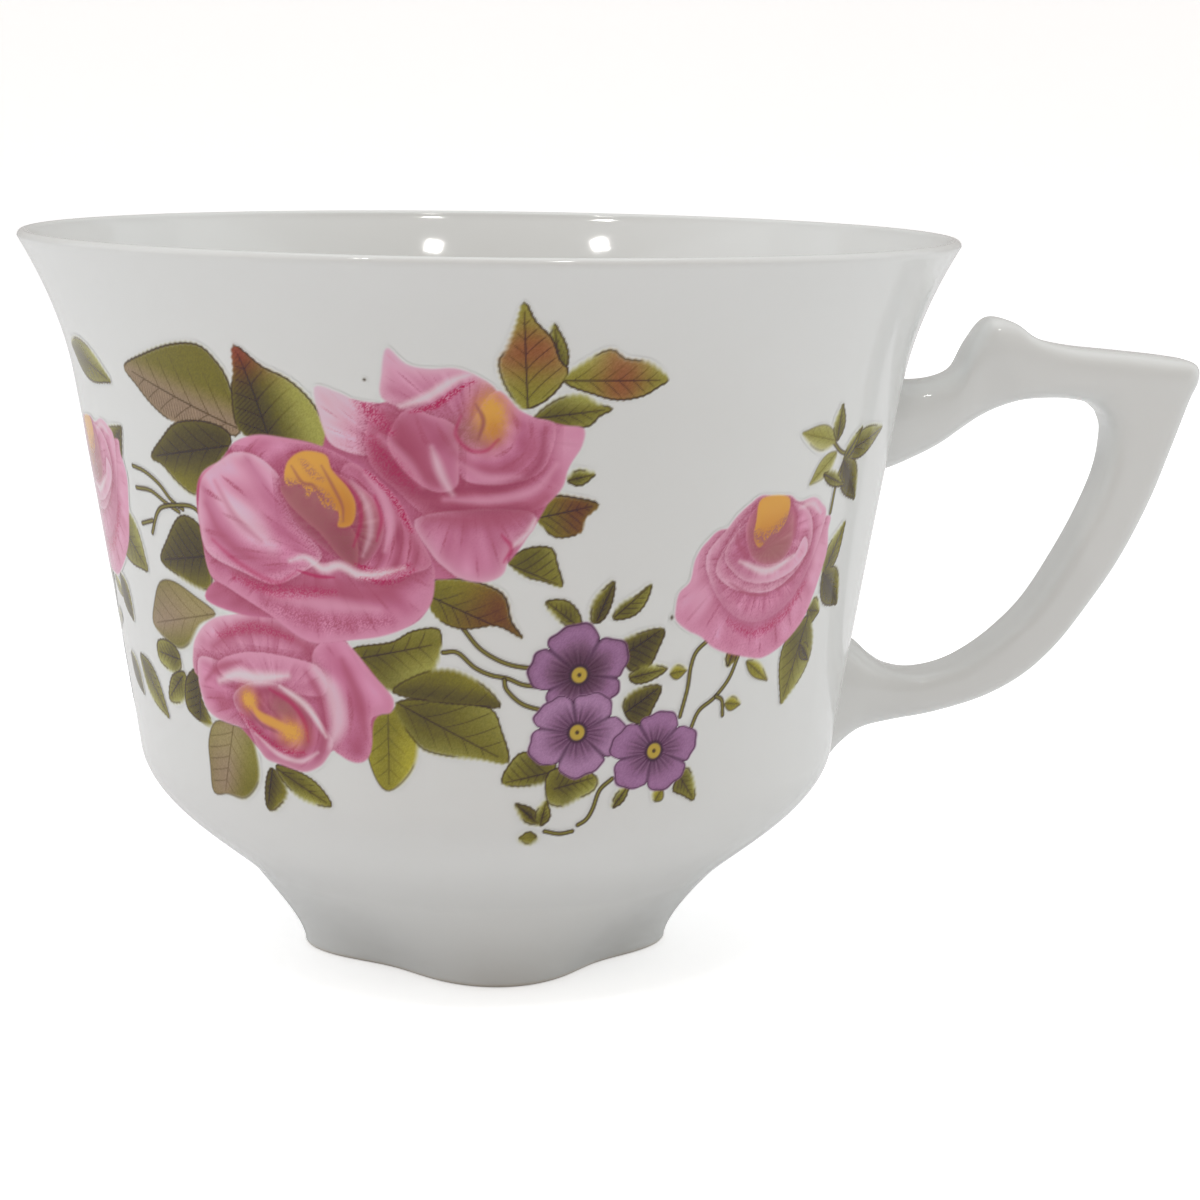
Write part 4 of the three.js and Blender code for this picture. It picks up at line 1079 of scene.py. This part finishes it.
         (19.2, 45.4), (21.4, 47.6), (26, 47.8), (29, 46.4), (29.8, 43.6), (28, 41.2), (25, 39.8),
         (21.6, 40), (19, 41)]),
        ("petal", "roseLight", "roseMid", (-1, 0.6), "rosePale", 0.5, (24, 46, 13, 1.2), [(18.6, 43.4),
         (19.6, 45.6), (21.4, 46.6), (22, 44.2), (24, 42.4), (27.2, 42.6), (28.6, 44.4), (29.4, 43),
         (27.6, 41.4), (24.4, 40.6), (21, 41.2)]),
        ("petal", "roseWarm", "mauve", (0, -1), "rose", 0.4, (23.6, 44, 12, 1.0), [(20.6, 46.2),
         (21.4, 43.6), (23, 42.4), (25.4, 42.3), (26.8, 43.6), (27, 46), (25.4, 47.8), (22, 48)]),
        ("petal", "amber", "amberDeep", (0.2, -1), "amber", 0.3, None, [(22, 48.5), (25.3, 48.4),
         (25.7, 46.8), (25, 45.4), (23.8, 45), (22.6, 44), (21.7, 45), (21.7, 46.5)]),
        ("dab", "mauve", 0.75, (1.3, 0.7), (24.6, 43.6)),
        ("dots", "mauve", 0.8, 1.3, 0.9, [(21.4, 45.6), (23, 44.8), (24.6, 45.4), (25.6, 46.6)]),
        ("stroke", "roseDeep", 0.6, 0.5, 0.5, [(19.7, 45.6), (20, 44.5), (21.5, 43)]),
        ("stroke", "roseDeep", 0.6, 0.5, 0.5, [(25.8, 48), (26.8, 46.4), (27, 44.4)]),
        ("stroke", "lip", 0.75, 0.7, 0.6, [(20.4, 42.9), (24, 41.7), (27.4, 42.8)]),
        ("stroke", "lip", 0.6, 0.6, 0.6, [(27.2, 47.2), (29, 47.4), (30.6, 46.4)]),
        ("stroke", "roseDeep", 0.6, 0.3, 0.35, [(19.6, 41), (22, 39.8), (24.6, 39.4)]),
        ("stroke", "roseDeep", 0.5, 0.3, 0.35, [(26, 39.8), (28, 40.8), (29.2, 42)]),
        ("dots", "crimson", 0.5, 0.8, 0.9, [(20, 37.4), (23.5, 36), (27.5, 37.4), (30, 40)]),
        ("dab", "roseLight", 0.6, (1.4, 2.0), (16.4, 39.6)),
        ("dab", "roseLight", 0.6, (1.0, 2.0), (31.4, 43)),
    ],
}


roseOrder = ("upper", "lower", "middle", "right")


# A spray from the bottom up: stems, leaves, buds, violets and roses.
def paintSpray(sheet, leaves, stems):
    for row in stems:
        stem(sheet, row)
    for kind, base, tip, points, width in leaves:
        leaf(sheet, kind, base, tip, points, width)
    for row in budRows:
        dab(sheet, row)
    for place, radii, turn, skew, inks in violets:
        violet(sheet, place, radii, turn, skew, inks)
    for name in roseOrder:
        paintRose(sheet, roseRows[name])


front = {
    "low": (-48.0, 16.5),      # corners of the unrolled sheet (mm)
    "high": (43.0, 68.0),
    "grainSeed": 4,
}

# The second spray, on the wall away from the main view: the same drawing carried round and tilted.
back = {
    "low": (-48.0, 10.0),
    "high": (43.0, 69.0),
    "grainSeed": 9,
    "turn": -114.0,            # degrees round from the front spray
    "tilt": 0.17,
    "raise": 0.6,
    "lastLeaf": 24.0,          # leaves and stems that start past here (mm) are left out
}

backLeafRows = [
    ("green", (24.6, 55.2), (33.1, 51.1), [], 3.4),
    ("dark", (28.2, 43.3), (33.6, 46.9), [], 4.2),
    ("green", (28.6, 39.5), (34.1, 33.6), [], 4.6),
    ("dark", (26, 33.5), (28.2, 29), [], 2.6),
    ("greenTurned", (28.4, 25.8), (33.6, 19.7), [], 3.0),
    ("dark", (24.6, 26), (27.4, 22), [], 2.2),
]


studio = {
    "front": (1.0, 0.84, 0.70, 1),
    "world": (0.965, 0.985, 1.0, 1),
    "worldStrength": 0.86,
    "turnsAt": (-1.0, 0.1),    # along Y, where the front's light gives way to the rest
    "frontShare": 0.27,        # how bright the room behind the camera is, against the rest
    "floorColour": (0.96, 0.965, 0.975, 1),
    "floorGlow": 0.5,
    "floorGap": 0.00002,       # the floor lies this far under the rest, so the two never coincide
    "floorRoughness": 0.6,
    "lampTarget": (0, 0, 0.035),
    "lamps": [
        # name, place (m), size (m), power (W), colour
        ("leftWindow", (-1.1, -0.25, 0.55), (1.1, 1.3), 1.9, (0.97, 0.99, 1.0)),
        ("rightWindow", (1.15, -0.15, 0.55), (1.0, 1.2), 1.7, (0.93, 1.0, 1.0)),
        ("topSoftbox", (0.0, 0.1, 1.2), (0.9, 0.9), 1.8, (1.0, 1.0, 1.0)),
        ("frontLampOne", (0.145, -0.43, 0.79), (0.05, 0.05), 0.45, (1.0, 0.98, 0.95)),
        ("frontLampTwo", (-0.345, -0.30, 0.77), (0.05, 0.05), 0.45, (1.0, 0.98, 0.95)),
    ],
}

view = {
    "turn": -5.0,              # degrees round the cup from straight in front
    "distance": 0.300,
    "height": 0.0848,
    "yaw": 2.09,
    "pitch": 9.56,
    "roll": 0.83,
    "lens": 92.88,
}


# Turning that looks from a place at a target: right, above and back as columns.
def aimAt(place, target):
    back = np.subtract(place, target)
    back = back / np.linalg.norm(back)
    right = np.cross([0, 0, 1], back)
    right = right / np.linalg.norm(right)
    return np.stack([right, np.cross(back, right), back], -1)


# Sets an object's pose from its place and its turning.
def placeWith(thing, place, turning):
    pose = np.eye(4)
    pose[:3, :3], pose[:3, 3] = turning, place
    thing.matrix_world = mathutils.Matrix(pose.tolist())


# The room: its strength and tint run by a smoothstep along Y from the front's to the rest's. Lamps
# are oblong and look at the cup.
def lightStudio():
    scene = bpy.context.scene
    scene.world = bpy.data.worlds.new("studio")
    make = Maker(scene.world)
    along = make.add("ShaderNodeTexCoord").out("Generated")
    along = make.add("ShaderNodeSeparateXYZ", {}, {0: along}).out("Y")
    behind = make.add("ShaderNodeMapRange", {"interpolation_type": "SMOOTHSTEP"},
                      {0: along, 1: studio["turnsAt"][0], 2: studio["turnsAt"][1]}).out()
    strength = make.add("ShaderNodeMapRange", {}, {
        0: behind, 3: studio["frontShare"] * studio["worldStrength"], 4: studio["worldStrength"]}).out()
    colour = make.mix(behind, studio["front"], studio["world"])
    sky = make.add("ShaderNodeBackground", {}, {"Color": colour, "Strength": strength})
    make.finish(sky, "ShaderNodeOutputWorld")
    for name, place, size, power, colour in studio["lamps"]:
        lamp = bpy.data.lights.new(name, "AREA")
        lamp.shape, lamp.size, lamp.size_y = "RECTANGLE", size[0], size[1]
        lamp.energy, lamp.color = power, colour
        thing = bpy.data.objects.new(name, lamp)
        scene.collection.objects.link(thing)
        placeWith(thing, np.add(place, (axisX, 0, 0)), aimAt(place, studio["lampTarget"]))


backdrop = {
    "nearEdge": -3.0,          # m along Y, as are the next two
    "bendStart": 2.2,
    "bendRadius": 1.2,
    "height": 4.0,
    "halfWidth": 4.0,
    "bendSteps": 24,
}


# A floor that runs back and curves up into a wall: a straight run, a quarter turn, a straight rise.
# Only the camera sees its glow, so it whitens the background and not the cup.
def layFloor():
    turn = np.linspace(0, np.pi / 2, backdrop["bendSteps"])
    bend, start = backdrop["bendRadius"], backdrop["bendStart"]
    curve = np.stack([start + bend * np.sin(turn), bend - bend * np.cos(turn)], -1)
    line = np.vstack([[(backdrop["nearEdge"], 0.0)], curve, [(start + bend, backdrop["height"])]])
    side = np.full(len(line), -backdrop["halfWidth"])
    left = np.stack([side, line[:, 0], line[:, 1] - studio["floorGap"]], -1)
    right = left * np.array([-1, 1, 1])
    n = len(line)
    step = np.arange(n - 1)
    quads = np.stack([step, step + n, step + n + 1, step + 1], -1)
    mesh = bpy.data.meshes.new("floor")
    mesh.from_pydata(np.vstack([left, right]).tolist(), [], quads.tolist())
    mesh.polygons.foreach_set("use_smooth", np.ones(n - 1, bool))
    floor = bpy.data.objects.new("floor", mesh)
    bpy.context.scene.collection.objects.link(floor)
    make = Maker(bpy.data.materials.new("pale_floor"))
    seen = make.add("ShaderNodeLightPath").out("Is Camera Ray")
    glow = make.mix(seen, (0, 0, 0, 1), (1, 1, 1, 1))
    surface = make.add("ShaderNodeBsdfPrincipled", {}, {
        "Base Color": studio["floorColour"], "Roughness": studio["floorRoughness"],
        "Emission Color": glow, "Emission Strength": studio["floorGlow"]})
    mesh.materials.append(make.finish(surface))


# The camera stands on a circle round the cup. Its heading, pitch and roll turn it in that order.
def placeCamera():
    turn, yaw, pitch, roll = (math.radians(view[k]) for k in ("turn", "yaw", "pitch", "roll"))
    place = np.array([math.sin(turn) * view["distance"] + axisX,
                      -math.cos(turn) * view["distance"], view["height"]])
    heading = yaw - turn
    forward = np.array([math.sin(heading) * math.cos(pitch), math.cos(heading) * math.cos(pitch),
                        -math.sin(pitch)])
    level = np.array([math.cos(heading), -math.sin(heading), 0.0])
    upright = np.cross(level, forward)
    right = math.cos(roll) * level + math.sin(roll) * upright
    above = math.cos(roll) * upright - math.sin(roll) * level
    camera = bpy.data.cameras.new("camera")
    camera.lens, camera.sensor_width = view["lens"], 36.0
    camera.clip_start, camera.clip_end = 0.01, 50.0
    thing = bpy.data.objects.new("camera", camera)
    bpy.context.scene.collection.objects.link(thing)
    placeWith(thing, place, np.stack([right, above, -forward], -1))
    bpy.context.scene.camera = thing


bpy.context.scene.view_settings.view_transform = "Standard"
placeCamera()
lightStudio()
layFloor()
print("studio ready")

porcelain = porcelainMaterial()
addPiece("glazed_body", *bodySurface(), porcelain, ["bowl", "foot", "foot_slip_joint"])
print("body turned")
addPiece("cast_handle", *handleSurface(), porcelain, ["handle", "upper_slip_joint", "lower_slip_joint"])
print("handle cast")
printed = transferMaterial()
frontSheet = Sheet(front["low"], front["high"], transfer["step"], front["grainSeed"])
paintSpray(frontSheet, leafRows, stemRows)
bendSheet(frontSheet, ["front_spray_left", "front_spray_middle", "front_spray_right"],
          0.0, printed, ["front_spray_transfer"])
print("front spray painted")
backSheet = Sheet(back["low"], back["high"], transfer["step"], back["grainSeed"])
backSheet.tilt = back["tilt"]
backSheet.move = np.array([0.0, back["raise"]])
paintSpray(backSheet, [row for row in leafRows if row[1][0] < back["lastLeaf"]] + backLeafRows,
           [row for row in stemRows if row[0][0] < back["lastLeaf"]])
bendSheet(backSheet, ["back_spray_left", "back_spray_middle", "back_spray_right"],
          back["turn"], printed, ["back_spray_transfer"])
print("back spray painted")
